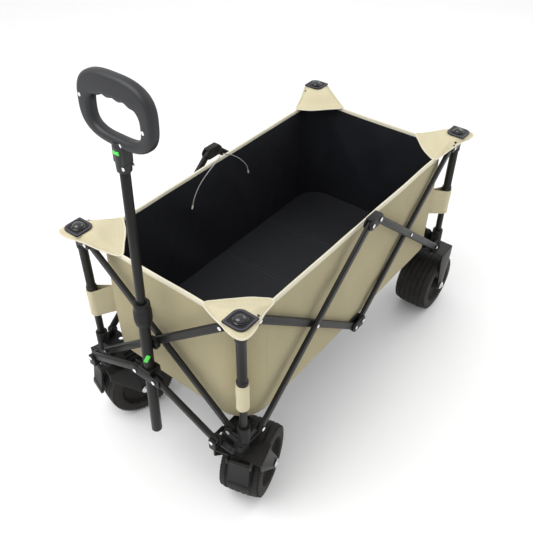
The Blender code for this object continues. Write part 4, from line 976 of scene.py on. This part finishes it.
class CART_OT_tie_strings(bpy.types.Operator):
    """Makes the two thin ties that hang inside the tub from the right rim, with their tips"""
    bl_idname = "cart.tie_strings"
    bl_label = "Tie strings"

    def execute(self, context):
        for end, route in STRING_ROUTES.items():
            spots = [Vector((x, y + MIDDLE_Y, z)) for x, y, z in route]
            curve = bpy.data.curves.new(f"tie_{end}", "CURVE")
            curve.dimensions = "3D"
            curve.bevel_depth = STRING_RADIUS
            curve.bevel_resolution = 3
            curve.use_fill_caps = True
            spline = curve.splines.new("POLY")
            spline.points.add(len(spots) - 1)
            for point, spot in zip(spline.points, spots):
                point.co = (*spot, 1)
            curve.materials.append(FINISHES["string"])
            string = bpy.data.objects.new(f"tie_{end}", curve)
            context.scene.collection.objects.link(string)
            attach(string, "right_top_hinge")
            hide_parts(f"tie_string_{end}")
            last = spots[-1]
            heading = (last - spots[-2]).normalized()
            tip = lathe([(0, -0.004), (0.0018, -0.0035), (0.0023, 0.000), (0.0020, 0.006),
                         (0, 0.008)],
                        along(heading, last), 16)
            knot = piece(f"tie_tip_{end}", tip, "right_top_hinge", "tape")
        return {"FINISHED"}


# ---------------------------------------------------------------- frame
def bar_mesh(start, end, normal):
    start, end = Vector(start), Vector(end)
    outline = capsule((end - start).length, BAR_HALF_DEPTH)
    return plate([outline], 2 * BAR_HALF_THICK, 0.0044, frame_of(start, end - start, normal), 4)


class CART_OT_bars(bpy.types.Operator):
    """Makes the oval-edged scissor bars of the sides and the ends"""
    bl_idname = "cart.bars"
    bl_label = "Scissor bars"

    def execute(self, context):
        run = HALF_ALONG - SIDE_INSET
        for side, sign in SIDES.items():
            normal = (sign, 0, 0)
            for number, near, far, names in ((1, -run, -HINGE_HALF, "front"),
                                             (2, HINGE_HALF, run, "rear")):
                for layer, label in ((OUTER_LAYER, "outer"), (INNER_LAYER, "inner")):
                    rises = (label == "outer") == (number == 1)
                    low, high = LOW_PIVOT_Z, HIGH_PIVOT_Z
                    if not rises:
                        low, high = high, low
                    mesh = bar_mesh(side_point(side, layer, near, low),
                                    side_point(side, layer, far, high), normal)
                    piece(f"{label}_bar_{side}_{names}", mesh, f"{side}_{names}_{label}_bar",
                          "steel",
                          [f"side_bar_{side}_{number}_{label}"])
        reach = HALF_ACROSS - END_INSET
        for end, sign in ENDS.items():
            normal = (0, sign, 0)
            falling = bar_mesh(end_point(end, OUTER_LAYER, reach, HIGH_PIVOT_Z),
                               end_point(end, OUTER_LAYER, -reach, LOW_PIVOT_Z), normal)
            rising = bar_mesh(end_point(end, INNER_LAYER, reach, LOW_PIVOT_Z),
                              end_point(end, INNER_LAYER, -reach, HIGH_PIVOT_Z), normal)
            piece(f"outer_bar_{end}", falling, f"{end}_outer_bar", "steel",
                  [f"{end}_bar_outer"])
            piece(f"inner_bar_{end}", rising, f"{end}_inner_bar", "steel",
                  [f"{end}_bar_inner"])
        near = end_point("front", OUTER_LAYER + BAR_HALF_THICK - 0.0006, 0, CROSSING_Z)
        back = handle_at(CROSSING_Z).y + 0.0129
        far = Vector((0, back, CROSSING_Z))
        depth = (far - near).length
        pad = lathe([(0, 0), (0.016, 0), (0.016, depth - 0.003), (0.012, depth - 0.0004),
                     (0, depth - 0.0004)],
                    along(far - near, near), 40, fillet=0.0012)
        piece("handle_rest_pad", pad, "front_outer_bar", "plastic")
        return {"FINISHED"}


class CART_OT_posts(bpy.types.Operator):
    """Makes the corner posts: lower tubes, and the sleeves that slide on them"""
    bl_idname = "cart.posts"
    bl_label = "Corner posts"

    def execute(self, context):
        for side in SIDES:
            for end in ENDS:
                softened(f"upper_post_{end}_{side}", "steel", 0.0007)
                low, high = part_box(f"lower_post_tube_{end}_{side}")
                place = Matrix.Translation(corner(side, end))
                tube = lathe([(0.0072, high.z - 0.0004), (0.00875, high.z - 0.0004),
                              (0.00875, low.z),
                              (0.0072, low.z)], place, 36, closed=True, fillet=0.0004)
                piece(f"post_tube_{end}_{side}", tube, corner_body(side, end), "steel",
                      [f"lower_post_tube_{end}_{side}"])
                ring = lathe([(0.0109, 0.4305), (0.0128, 0.4312), (0.0132, 0.436), (0.0128, 0.4412),
                              (0.0109, 0.4425)], place, 36, closed=True)
                piece(f"sleeve_ring_{end}_{side}", ring, post_body(side, end), "plastic")
        return {"FINISHED"}


class CART_OT_corner_caps(bpy.types.Operator):
    """Makes the corner plates with their pale border lines, and the glossy knobs on them"""
    bl_idname = "cart.corner_caps"
    bl_label = "Corner caps"

    def execute(self, context):
        for side in SIDES:
            for end in ENDS:
                def outline(shrink):
                    h, r = CAP_HALF - shrink, max(CAP_ROUND - shrink, CAP_POINT)
                    k = h - r
                    corner_a = arc((h - CAP_POINT, -h + CAP_POINT), CAP_POINT, -90, 0, 4)
                    corner_b = arc((-h + CAP_POINT, h - CAP_POINT), CAP_POINT, 90, 180, 4)
                    return (corner_a + arc((k, k), r, 0, 90, 12)
                            + corner_b + arc((-k, -k), r, 180, 270, 12))

                turn = frame_of(corner(side, end, z=CAP_Z), (SIDES[side], 0, 0),
                                (0, 0, SIDES[side] * ENDS[end]))
                up = SIDES[side] * ENDS[end]
                body = post_body(side, end)
                base = plate([outline(0)], 0.0026, 0.0009,
                             turn @ Matrix.Translation((0, 0, up * 0.0013)))
                dome = [(0.0152, CAP_Z + 0.0022), (0.0155, CAP_Z + 0.0040),
                        (0.0143, CAP_Z + 0.0050)]
                dome += [(0.0128 * math.cos(a), CAP_Z + 0.0046 + 0.0076 * math.sin(a))
                         for a in (math.pi / 2 * i / 12 for i in range(12))]
                dome += [(0, CAP_Z + 0.0122)]
                knob = lathe([(0, CAP_Z + 0.0018)] + dome, Matrix.Translation(corner(side, end)),
                             48)
                stem = rod(corner(side, end, z=CAP_Z - 0.0058), corner(side, end, z=CAP_Z + 0.001),
                           0.006)
                piece(f"cap_plate_{end}_{side}", joined("cap", [base, stem]), body, "plastic",
                      [f"corner_cap_{end}_{side}"])
                piece(f"cap_knob_{end}_{side}", knob, body, "knob")
                lines = []
                for inset, width in ((0.0024, 0.0009), (0.0050, 0.0007)):
                    lines.append(plate([outline(inset), outline(inset + width)], 0.0007, 0.0002,
                                       turn @ Matrix.Translation((0, 0, up * 0.0027)), 1))
                piece(f"cap_lines_{end}_{side}", joined("lines", lines), body, "trim")
        return {"FINISHED"}


class CART_OT_mouldings(bpy.types.Operator):
    """Finishes the brackets, hinges, forks, carriers, yokes, links and pedals with rounded edges"""
    bl_idname = "cart.mouldings"
    bl_label = "Brackets and hinges"

    def execute(self, context):
        for side in SIDES:
            for end in ENDS:
                softened(f"lower_bracket_{end}_{side}", "plastic", 0.0008)
            for level in ("top", "bottom"):
                softened(f"middle_hinge_{side}_{level}", "plastic", 0.0010)
            softened(f"caster_fork_{side}", "steel")
            softened(f"rear_carrier_{side}", "steel")
            softened(f"link_yoke_{side}", "plastic", 0.0008)
            self.link(side)
            softened(f"brake_pedal_{side}", "plastic", 0.0008)
        softened("handle_mount", "plastic", 0.0010)
        return {"FINISHED"}

    def link(self, side):
        """An arm of the V that carries the handle."""
        sign = SIDES[side]
        outer = Vector((sign * YOKE_X, LINK_PLANE, YOKE_Z))
        inner = Vector((sign * MOUNT_X, LINK_PLANE, MOUNT_Z))
        outline = capsule((inner - outer).length, 0.009)
        arm = plate([outline], 0.012, 0.0045, frame_of(outer, inner - outer, (0, -1, 0)), 4)
        piece(f"handle_link_{side}", arm, f"{side}_link", "steel",
              [f"v_link_{side}"])


class CART_OT_fixings(bpy.types.Operator):
    """Sets the bright rivets and bolts of the pivots, crossings and axles"""
    bl_idname = "cart.fixings"
    bl_label = "Rivets and bolts"

    def execute(self, context):
        run = HALF_ALONG - SIDE_INSET
        outer_face = 0.0232
        inner_face = 0.0164
        for side, sign in SIDES.items():
            x_way = (sign, 0, 0)
            for end, way in ENDS.items():
                y_way = (0, way, 0)
                falls = side == "left"
                low_end = inner_face if falls else outer_face
                high_end = outer_face if falls else inner_face
                reach = sign * (HALF_ACROSS - END_INSET)
                heads(f"foot_rivets_{end}_{side}", corner_body(side, end), [
                    (side_point(side, outer_face, way * run, LOW_PIVOT_Z), x_way, 1.0),
                    (end_point(end, low_end, reach, LOW_PIVOT_Z), y_way, 1.0)])
                heads(f"top_rivets_{end}_{side}", post_body(side, end), [
                    (side_point(side, inner_face, way * run, HIGH_PIVOT_Z), x_way, 0.9),
                    (end_point(end, high_end, reach, HIGH_PIVOT_Z), y_way, 0.9)])
            for level, z, face in (("top", HIGH_PIVOT_Z, 0.0269), ("bottom", LOW_PIVOT_Z, 0.0154)):
                heads(f"hinge_rivets_{side}_{level}", f"{side}_{level}_hinge", [
                    (side_point(side, face, y, z), x_way, 1.0) for y in (-HINGE_HALF, HINGE_HALF)])
            middle = (run + HINGE_HALF) / 2
            for label, y in (("front", -middle), ("rear", middle)):
                heads(f"crossing_rivet_{side}_{label}", f"{side}_{label}_outer_bar", [
                    (side_point(side, 0.0224, y, CROSSING_Z), x_way, 0.9)])
        heads("crossing_rivet_rear", "rear_outer_bar",
              [(end_point("rear", 0.0224, 0, CROSSING_Z), (0, 1, 0), 0.9)])
        for side, sign in SIDES.items():
            heads(f"yoke_rivet_{side}", f"{side}_yoke",
                  [(Vector((sign * YOKE_X, LINK_PLANE - 0.0129, YOKE_Z)), (0, -1, 0), 1)])
        heads("mount_rivets", "handle_mount", [
            (Vector((sign * MOUNT_X, LINK_PLANE - 0.0119, MOUNT_Z)), (0, -1, 0),
             1.0) for sign in (-1, 1)])
        for side, sign in SIDES.items():
            low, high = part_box(f"rear_wheel_{side}")
            axle = (low + high) / 2
            heads(f"rear_axle_bolts_{side}", corner_body(side, "rear"), [
                (axle + Vector((way * 0.0625, 0, 0)), (way, 0, 0), 1.0)
                for way in (-1, 1)], kind="bolt",
                Head_radius=0.0070, Head_height=0.0030, Washer_radius=0.0115)
            across = wheel_axis(side)
            axle = middle_of(f"front_wheel_{side}")
            heads(f"front_axle_bolts_{side}", f"{side}_caster", [
                (axle + across * (way * 0.0625), across * way, 1.0)
                for way in (-1, 1)], kind="bolt",
                Head_radius=0.0070, Head_height=0.0030, Washer_radius=0.0115)
        return {"FINISHED"}


# ---------------------------------------------------------------- wheels
def wheel_axis(side):
    yaw = SIDES[side] * math.radians(17)
    return Vector((math.cos(yaw), math.sin(yaw), 0))


def wheel_profile(settings):
    """A wheel's closed section, as (radius, height): its faces, and a tread with grooves."""
    radius = 0.0918
    face = [(0.0066, 0.0545), (0.0150, 0.0545), (0.0165, 0.0530), (0.0170, 0.0400),
            (0.0200, 0.0345), (0.0520, 0.0345), (0.0565, 0.0375), (0.0600, 0.0485),
            (0.0625, 0.0508), (0.0780, 0.0508), (0.0830, 0.0495), (0.0880, 0.0440),
            (0.0895, 0.0405)]
    tread = []
    count = settings.grooves
    span = 0.0385
    for i in range(count):
        middle = span - (2 * span) * (i + 0.5) / count
        for step, depth in ((0.0034, 0), (0.0022, 1), (-0.0022, 1), (-0.0034, 0)):
            height = middle + step
            crown = radius - 0.0014 * (height / span) ** 2
            tread.append((crown - depth * settings.groove_depth, height))
    return face + tread + [(r, -h) for r, h in reversed(face)]


class CART_OT_wheels(bpy.types.Operator):
    """Makes the four wide wheels with grooved treads, ribbed shoulders and dished faces"""
    bl_idname = "cart.wheels"
    bl_label = "Wheels"

    def execute(self, context):
        settings = context.scene.cart_wheels
        for side in SIDES:
            for end, axis in (("front", wheel_axis(side)), ("rear", Vector((1, 0, 0)))):
                node = f"{end}_wheel_{side}"
                place = along(axis, middle_of(node))
                tyre = lathe(wheel_profile(settings), place, 96, closed=True, fillet=0.0009)
                body = f"{side}_{end}_wheel"
                piece(f"tyre_{end}_{side}", tyre, body, "rubber", [node], sharp=50)
                ribs = grown(bpy.data.meshes.new("ribs"), "rib", "rubber", Ribs=settings.ribs)
                ribs.transform(place)
                piece(f"tyre_ribs_{end}_{side}", ribs, body, "rubber")
        return {"FINISHED"}


# ---------------------------------------------------------------- handle
def grip_outline(scale_x, scale_z, power, count=96, low=0.0):
    """A rounded oblong, x across and y up."""
    made = []
    for i in range(count):
        angle = TAU * i / count
        c, s = math.cos(angle), math.sin(angle)
        made.append((scale_x * math.copysign(abs(c) ** power, c),
                     low + scale_z * math.copysign(abs(s) ** power, s)))
    return made


class CART_OT_handle(bpy.types.Operator):
    """Makes the telescopic handle: both tubes, the twist collar and the green mark"""
    bl_idname = "cart.handle"
    bl_label = "Handle tubes"

    def execute(self, context):
        place = frame_of(HANDLE_FOOT, (1, 0, 0), HANDLE_RISE)
        outer = lathe([(0.0105, 0.382), (0.0125, 0.382), (0.0125, 0), (0.0105, 0)], place, 48, True,
                      0.0006)
        piece("handle_lower_tube", outer, "handle_mount", "steel",
              ["handle_outer_tube"])
        plug = lathe([(0, -0.0002), (0.0100, 0.0004), (0.0104, 0.0030), (0, 0.0030)], place, 40)
        piece("handle_tube_plug", plug, "handle_mount", "plastic")
        end = (GRIP_NECK_Z - HANDLE_FOOT.z) / math.cos(HANDLE_LEAN) + 0.030
        inner = lathe([(0.0078, end), (0.0098, end), (0.0098, 0.330), (0.0078, 0.330)], place, 48,
                      True, 0.0006)
        piece("handle_upper_tube", inner, "handle_slide", "steel",
              ["handle_inner_tube"])
        low, high = COLLAR_SPAN
        profile = [(0.0102, high), (0.0165, high), (0.0178, high - 0.004), (0.0180, high - 0.016),
                   (0.0190, high - 0.019), (0.0190, low + 0.010), (0.0175, low), (0.0129, low),
                   (0.0129, 0.3825), (0.0102, 0.3825)]
        collar = lathe(profile, place, 64, True, 0.0010)
        ribs = []
        for i in range(24):
            angle = TAU * i / 24
            turn = place @ Matrix.Rotation(angle, 4, "Z")
            ribs.append(rounded_block((0.0180, -0.0007, low + 0.012),
                                      (0.0196, 0.0007, high - 0.022), 0.0004, turn, 1))
        piece("twist_collar", joined("collar", [collar, *ribs]), "lock_collar", "plastic",
              ["lock_collar"])
        mark_place = place @ Matrix.Rotation(math.radians(38), 4,
                                             "Z") @ Matrix.Translation((0, -0.0126, 0.252))
        mark = rounded_block((-0.0045, -0.0011, -0.0110), (0.0045, 0.0009, 0.0110), 0.0007,
                             mark_place @ Matrix.Rotation(math.radians(24), 4, "Y"), 2)
        piece("handle_green_mark", mark, "handle_mount", "green")
        return {"FINISHED"}


class CART_OT_grip(bpy.types.Operator):
    """Makes the moulded hand grip with its finger waves, neck, screws and green release button"""
    bl_idname = "cart.grip"
    bl_label = "Grip"

    def execute(self, context):
        turn = frame_of(handle_at(GRIP_RING_Z), (1, 0, 0),
                        HANDLE_RISE.cross(Vector((1, 0, 0))) * -1)
        facing = turn.to_3x3().col[1]
        flip = 1 if facing.dot(HANDLE_RISE) > 0 else -1
        outer = [(x, flip * z) for x, z in grip_outline(0.0905, 0.0655, 0.72)]
        hole = []
        for x, z in grip_outline(0.0600, 0.0340, 0.62, 144, low=-0.0105):
            if z > 0.0 and abs(x) < 0.052:
                z -= 0.0030 * (0.5 - 0.5 * math.cos(TAU * (x + 0.052) / 0.026))
            hole.append((x, flip * z))
        ring = plate([outer, hole], 0.0240, 0.0092, turn, 6)
        neck_place = frame_of(handle_at(GRIP_NECK_Z), (1, 0, 0), HANDLE_RISE)
        neck = lathe([(0, 0.058), (0.0150, 0.058), (0.0168, 0.050), (0.0150, 0.040),
                      (0.0145, 0.010), (0.0138, 0),
                      (0.0102, 0), (0.0102, -0.0001), (0, 0.001)],
                     neck_place, 48, fillet=0.0008)
        shoulders = rounded_block((-0.0150, -0.0118, 0.016), (0.0150, 0.0118, 0.056), 0.0040,
                                  neck_place)
        piece("hand_grip", joined("grip", [ring, neck, shoulders]), "handle_slide", "grip",
              ["grip"])
        spots = ((-0.079, 0.010), (0.070, -0.012), (0.010, -0.056), (0.0105, -0.1010))
        rows = []
        for sign in (-1, 1):
            for x, z in spots:
                place = handle_at(GRIP_RING_Z + z) + Vector((x, 0, 0))
                rows.append((place + Vector((0, sign * 0.0119, 0)), (0, sign, 0), 0.66))
        heads("grip_screws", "handle_slide", rows, slot="black_plastic", Washer_radius=0.0056)
        low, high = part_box("grip_button")
        button = rounded_block((low.x - 0.0010, low.y - 0.0002, low.z - 0.0006),
                               (high.x + 0.0010, high.y, high.z + 0.0006), 0.0014)
        piece("release_button", button, "grip_button", "green", ["grip_button"])
        return {"FINISHED"}


# ---------------------------------------------------------------- tub
class CART_OT_tub_walls(bpy.types.Operator):
    """Makes the canvas walls of the tub, their black lining, and the tape that binds the rim"""
    bl_idname = "cart.tub_walls"
    bl_label = "Tub walls"

    def execute(self, context):
        settings = context.scene.cart
        walls = [("side", side, i) for i, side in enumerate(SIDES)] + [("end", end, i + 2) for i,
                                                                       end in enumerate(ENDS)]
        for kind, place, number in walls:
            body = wall_body(kind, place)
            rows = wall_rows(kind, place, 0.0010, settings.canvas_swell,
                             settings.crease_depth * 0.9, 11.0 * number)
            # The wall canvas carries painted shade in its colour.
            canvas = piece(f"canvas_{place}", sheet_mesh(rows, 0.0012), body, "canvas",
                           [f"tub_wall_{place}"])
            squashed(canvas, kind)
            inner_rows = wall_rows(kind, place, -0.0010, -0.0018, -settings.crease_depth * 1.5,
                                   5.0 + 13.0 * number)
            lining = piece(f"lining_{place}", sheet_mesh(inner_rows, 0.0010), body, "lining")
            squashed(lining, kind)
            self.bind_rim(kind, place, body, settings)
        return {"FINISHED"}

    def bind_rim(self, kind, place, body, settings):
        """Tape folded over the rim, with a row of stitches on its outer face."""
        plan = wall_plan(kind, place)
        half, height = 0.0026, settings.hem_height
        section = [(half, -height), (half + 0.0003, -0.001), (half * 0.6, 0.0010),
                   (-half * 0.6, 0.0010),
                   (-half - 0.0002, -0.001), (-half, -height * 0.75), (0, -height * 0.80)]
        rows = []
        for i, spot in enumerate(plan):
            out = outward_of(plan, i)
            top = Vector((spot.x, spot.y, rim_z(spot) + 0.0006))
            rows.append([top + out * x + Vector((0, 0, z)) for x, z in section])
        tape = piece(f"rim_tape_{place}", swept(rows), body, "tape", sharp=60)
        squashed(tape, kind)
        seam = []
        for i, spot in enumerate(plan):
            out = outward_of(plan, i)
            seam.append(Vector((spot.x, spot.y,
                                rim_z(spot) - height * 0.72)) + out * (half + 0.0002))
        row = stitches(f"rim_stitches_{place}", body, [seam], Pitch=settings.stitch_pitch)
        squashed(row, kind)


def swept(rows):
    """A closed section carried along a line, with both ends closed and a cloth map."""
    wide = len(rows[0])
    points = [tuple(point) for row in rows for point in row]
    faces = []
    for r in range(len(rows) - 1):
        for c in range(wide):
            d = (c + 1) % wide
            faces.append((r * wide + c, r * wide + d, (r + 1) * wide + d, (r + 1) * wide + c))
    faces.append(tuple(range(wide)))
    faces.append(tuple((len(rows) - 1) * wide + c for c in reversed(range(wide))))
    mesh = bpy.data.meshes.new("swept")
    mesh.from_pydata(points, [], faces)
    chart = mesh.uv_layers.new(name="cloth")
    run = 0.0
    along_run = [0.0]
    for r in range(1, len(rows)):
        run += (Vector(rows[r][0]) - Vector(rows[r - 1][0])).length
        along_run.append(run)
    for face in mesh.polygons:
        for loop in face.loop_indices:
            r, c = divmod(mesh.loops[loop].vertex_index, wide)
            chart.data[loop].uv = (along_run[r], c * 0.004)
    return faced_outward(mesh)


class CART_OT_floor_mat(bpy.types.Operator):
    """Makes both halves of the stiffened floor mat with its sewn fold lines"""
    bl_idname = "cart.floor_mat"
    bl_label = "Floor mat"

    def execute(self, context):
        half_y = HALF_ALONG - WALL_INSET_END - 0.0004
        half_x = HALF_ACROSS - WALL_INSET_SIDE - 0.0004
        radius = TUB_CORNER
        for side, sign in SIDES.items():
            rows = []
            steps = 180
            for i in range(steps + 1):
                y = -half_y + 2 * half_y * i / steps
                past = abs(y) - (half_y - radius)
                width = half_x
                if past > 0:
                    width = half_x - radius + math.sqrt(max(radius ** 2 - past ** 2, 0.0001))
                row = []
                for j in range(25):
                    x = 0.0006 + (width - 0.0006) * j / 24
                    dip = 0.0
                    for seam in MAT_SEAMS:
                        for line in (-SEAM_HALF, SEAM_HALF):
                            dip += 0.0013 * math.exp(-((y - seam - line) / 0.0022) ** 2)
                    dip += 0.0012 * math.exp(-((x - 0.004) / 0.0025) ** 2)
                    z = MAT_Z - dip + ruffle((x * sign, y, 1.0), 14.0, 0.0007)
                    z -= RIGHT_MAT_DROP if sign < 0 else 0.0
                    row.append(Vector((sign * x, MIDDLE_Y + y, z)))
                rows.append(row)
            mat = piece(f"floor_mat_{side}", sheet_mesh(rows, 0.0036), f"{side}_top_hinge", "mat",
                        [f"tub_floor_{side}"])
            squashed(mat, "floor")
            lines = []
            for seam in MAT_SEAMS:
                for line in (-SEAM_HALF, SEAM_HALF):
                    y = seam + line
                    lines.append([Vector((sign * x, MIDDLE_Y + y,
                                          MAT_Z + 0.0014 - (RIGHT_MAT_DROP if sign < 0 else 0.0)))
                                  for x in (0.006, 0.10, half_x - 0.004)])
            thread = stitches(f"mat_stitches_{side}", f"{side}_top_hinge", lines,
                              finish="dark_thread",
                              slot="black_lining", Pitch=0.0075)
            squashed(thread, "floor")
        return {"FINISHED"}


def flap_outline(reach):
    """A corner flap's edge, as (inboard x, inboard y) from its post."""
    tip_x, tip_y = (reach, 0.017), (0.006, reach)
    corner_points = [
        (-0.0345, 0.004), (-0.0345, -0.0345), (0.004, -0.0345), (0.055, -0.0130), tip_x,
        (reach * 0.74, 0.048), (0.064, 0.074), (0.046, reach * 0.76), tip_y, (-0.0130, 0.055)]
    return filleted(corner_points, 0.018, 6, closed=True)


class CART_OT_corner_flaps(bpy.types.Operator):
    """Makes the canvas flaps that cover the tub's corners, with taped and stitched edges"""
    bl_idname = "cart.corner_flaps"
    bl_label = "Corner flaps"

    def execute(self, context):
        reach = context.scene.cart.flap_reach
        outline = flap_outline(reach)
        for side in SIDES:
            for end in ENDS:
                body = post_body(side, end)
                rings = 14
                rows = []
                for ring in range(rings + 1):
                    share = 0.03 + 0.97 * ring / rings
                    rows.append([self.place(side, end, spot * share, spot,
                                            share) for spot in outline])
                mesh = sheet_mesh(rows, 0.0018, closed_round=True)
                for loop in mesh.loops:
                    spot = mesh.vertices[loop.vertex_index].co
                    mesh.uv_layers["cloth"].data[loop.index].uv = (spot.x, spot.y)
                piece(f"flap_{end}_{side}", mesh, body, "flap")
                edge = [self.place(side, end, spot * 0.992, spot,
                                   0.992) + Vector((0, 0, 0.0004)) for spot in outline]
                tape = tube_along(edge, 0.0018, closed=True)
                flat_map(tape)
                piece(f"flap_piping_{end}_{side}", tape, body, "tape")
                lines = []
                for inset in (0.0060, 0.0125):
                    line = []
                    for spot in outline:
                        keep = max(0.2, 1 - inset / max(spot.length, 0.02))
                        line.append(self.place(side, end, spot * keep, spot,
                                               keep) + Vector((0, 0, 0.0011)))
                    lines.append(line + line[:1])
                stitches(f"flap_stitches_{end}_{side}", body, lines, Pitch=0.0060)
        return {"FINISHED"}

    def place(self, side, end, spot, edge, share):
        """Where a point of the flap lies: level round the cap, then down to the rim."""
        far = edge.length
        lie = max(0.0, min(1.0, (spot.length - CAP_KEEP_CLEAR) / max(far - CAP_KEEP_CLEAR, 0.004)))
        inward = max(0.0, min(1.0, (edge.x + edge.y) / 0.10))
        drop = 0.0055 + 0.0255 * inward
        fall = drop * (lie * lie * (3 - 2 * lie))
        z = 0.6088 - fall + ruffle((spot.x + 3 * SIDES[side], spot.y + 5 * ENDS[end], 0), 26.0,
                                   0.0022) * lie
        return corner(side, end, spot.x, spot.y, z)


class CART_OT_post_loops(bpy.types.Operator):
    """Makes the canvas loops that hold the tub to the lower posts"""
    bl_idname = "cart.post_loops"
    bl_label = "Post loops"

    def execute(self, context):
        for side in SIDES:
            for end in ENDS:
                body = post_body(side, end)
                tip = Vector((0.0345, 0.0388))
                away = tip.normalized()
                start = math.atan2(away.y, away.x)
                ring = []
                for i in range(25):
                    angle = start + math.radians(68) + math.radians(224) * i / 24
                    ring.append(Vector((0.0135 * math.cos(angle), 0.0135 * math.sin(angle))))
                plan = ring + [ring[-1].lerp(tip, t) for t in (0.25, 0.5, 0.75)]
                plan += [tip] + [tip.lerp(ring[0], t) for t in (0.25, 0.5, 0.75)]
                rows = []
                for level in range(13):
                    z = 0.3555 + 0.0765 * level / 12
                    row = []
                    for spot in plan:
                        soft = ruffle((spot.x * 3 + SIDES[side], spot.y * 3 + ENDS[end], z), 30.0,
                                      0.0012)
                        push = 1 + (soft / max(spot.length, 0.012) if spot.length < 0.03 else 0.0)
                        sag = 0.004 * math.sin(z * 60 + spot.x * 40) * (spot.length / 0.052)
                        row.append(corner(side, end, spot.x * max(push, 1.0),
                                          spot.y * max(push, 1.0), z + sag))
                    rows.append(row)
                piece(f"post_loop_{end}_{side}", sheet_mesh(rows, 0.0015, closed_round=True), body,
                      "flap")
                lines = []
                for z in (0.3605, 0.4270):
                    lines.append([corner(side, end, spot.x * 1.075, spot.y * 1.075,
                                         z) for spot in plan[:25]])
                stitches(f"loop_stitches_{end}_{side}", body, lines, Pitch=0.0055)
        return {"FINISHED"}


# ---------------------------------------------------------------- stage
class CART_OT_stage(bpy.types.Operator):
    """Lays the pale floor and sets the soft lights"""
    bl_idname = "cart.stage"
    bl_label = "Stage"

    def execute(self, context):
        settings = context.scene.cart_stage
        floor_finish = Finish("studio_floor", Roughness=0.95)
        tone = floor_finish.cloud(3.0, 2.0)
        shade = settings.floor_shade
        floor_finish.drive("Base Color",
                           floor_finish.blend(tone, (*shade, 1), (*(c * 0.985 for c in shade), 1)))
        mesh = bpy.data.meshes.new("studio_floor")
        reach = 12.0
        mesh.from_pydata([(-reach, -reach, 0), (reach, -reach, 0), (reach, reach, 0),
                          (-reach, reach, 0)],
                         [], [(0, 1, 2, 3)])
        mesh.materials.append(floor_finish.material)
        floor = bpy.data.objects.new("studio_floor", mesh)
        context.scene.collection.objects.link(floor)
        world = bpy.data.worlds.new("white_surround")
        world.use_nodes = True
        backdrop = world.node_tree.nodes["Background"]
        backdrop.inputs["Color"].default_value = (1.0, 1.0, 1.0, 1)
        backdrop.inputs["Strength"].default_value = settings.sky
        context.scene.world = world
        context.scene.view_settings.view_transform = "Standard"
        self.light("key", (-0.6, -1.4, 2.6), settings.key_power, 1.8)
        self.light("rim", (0.4, 2.0, 2.2), settings.key_power * 0.35, 1.6)
        return {"FINISHED"}

    def light(self, name, place, power, size):
        data = bpy.data.lights.new(name, "AREA")
        data.energy = power
        data.size = size
        lamp = bpy.data.objects.new(name, data)
        aim = Vector((0, 0, 0.35)) - Vector(place)
        lamp.matrix_world = Matrix.Translation(place) @ aim.to_track_quat("-Z",
                                                                          "Y").to_matrix().to_4x4()
        bpy.context.scene.collection.objects.link(lamp)


OPERATORS = (CART_OT_camera, CART_OT_tie_strings, CART_OT_bars, CART_OT_posts, CART_OT_corner_caps,
             CART_OT_mouldings, CART_OT_fixings, CART_OT_wheels, CART_OT_handle, CART_OT_grip,
             CART_OT_tub_walls, CART_OT_floor_mat, CART_OT_corner_flaps, CART_OT_post_loops,
             CART_OT_stage)


class CART_PT_panel(bpy.types.Panel):
    """The cart's settings and the steps that make it"""
    bl_idname = "CART_PT_panel"
    bl_label = "Beach cart"
    bl_space_type = "VIEW_3D"
    bl_region_type = "UI"
    bl_category = "Beach cart"

    def draw(self, context):
        for group in (context.scene.cart, context.scene.cart_wheels, context.scene.cart_stage):
            for name in group.bl_rna.properties.keys():
                if name not in ("rna_type", "name"):
                    self.layout.prop(group, name)
        for step in OPERATORS:
            self.layout.operator(step.bl_idname)


CLASSES = (CartSettings, WheelSettings, StageSettings, *OPERATORS, CART_PT_panel)


def register():
    for kind in CLASSES:
        bpy.utils.register_class(kind)
    bpy.types.Scene.cart = bpy.props.PointerProperty(type=CartSettings)
    bpy.types.Scene.cart_wheels = bpy.props.PointerProperty(type=WheelSettings)
    bpy.types.Scene.cart_stage = bpy.props.PointerProperty(type=StageSettings)


def unregister():
    del bpy.types.Scene.cart_stage
    del bpy.types.Scene.cart_wheels
    del bpy.types.Scene.cart
    for kind in reversed(CLASSES):
        bpy.utils.unregister_class(kind)


def main():
    register()
    make_finishes()
    for step in OPERATORS:
        group, name = step.bl_idname.split(".")
        getattr(getattr(bpy.ops, group), name)()


if __name__ == "__main__":
    main()
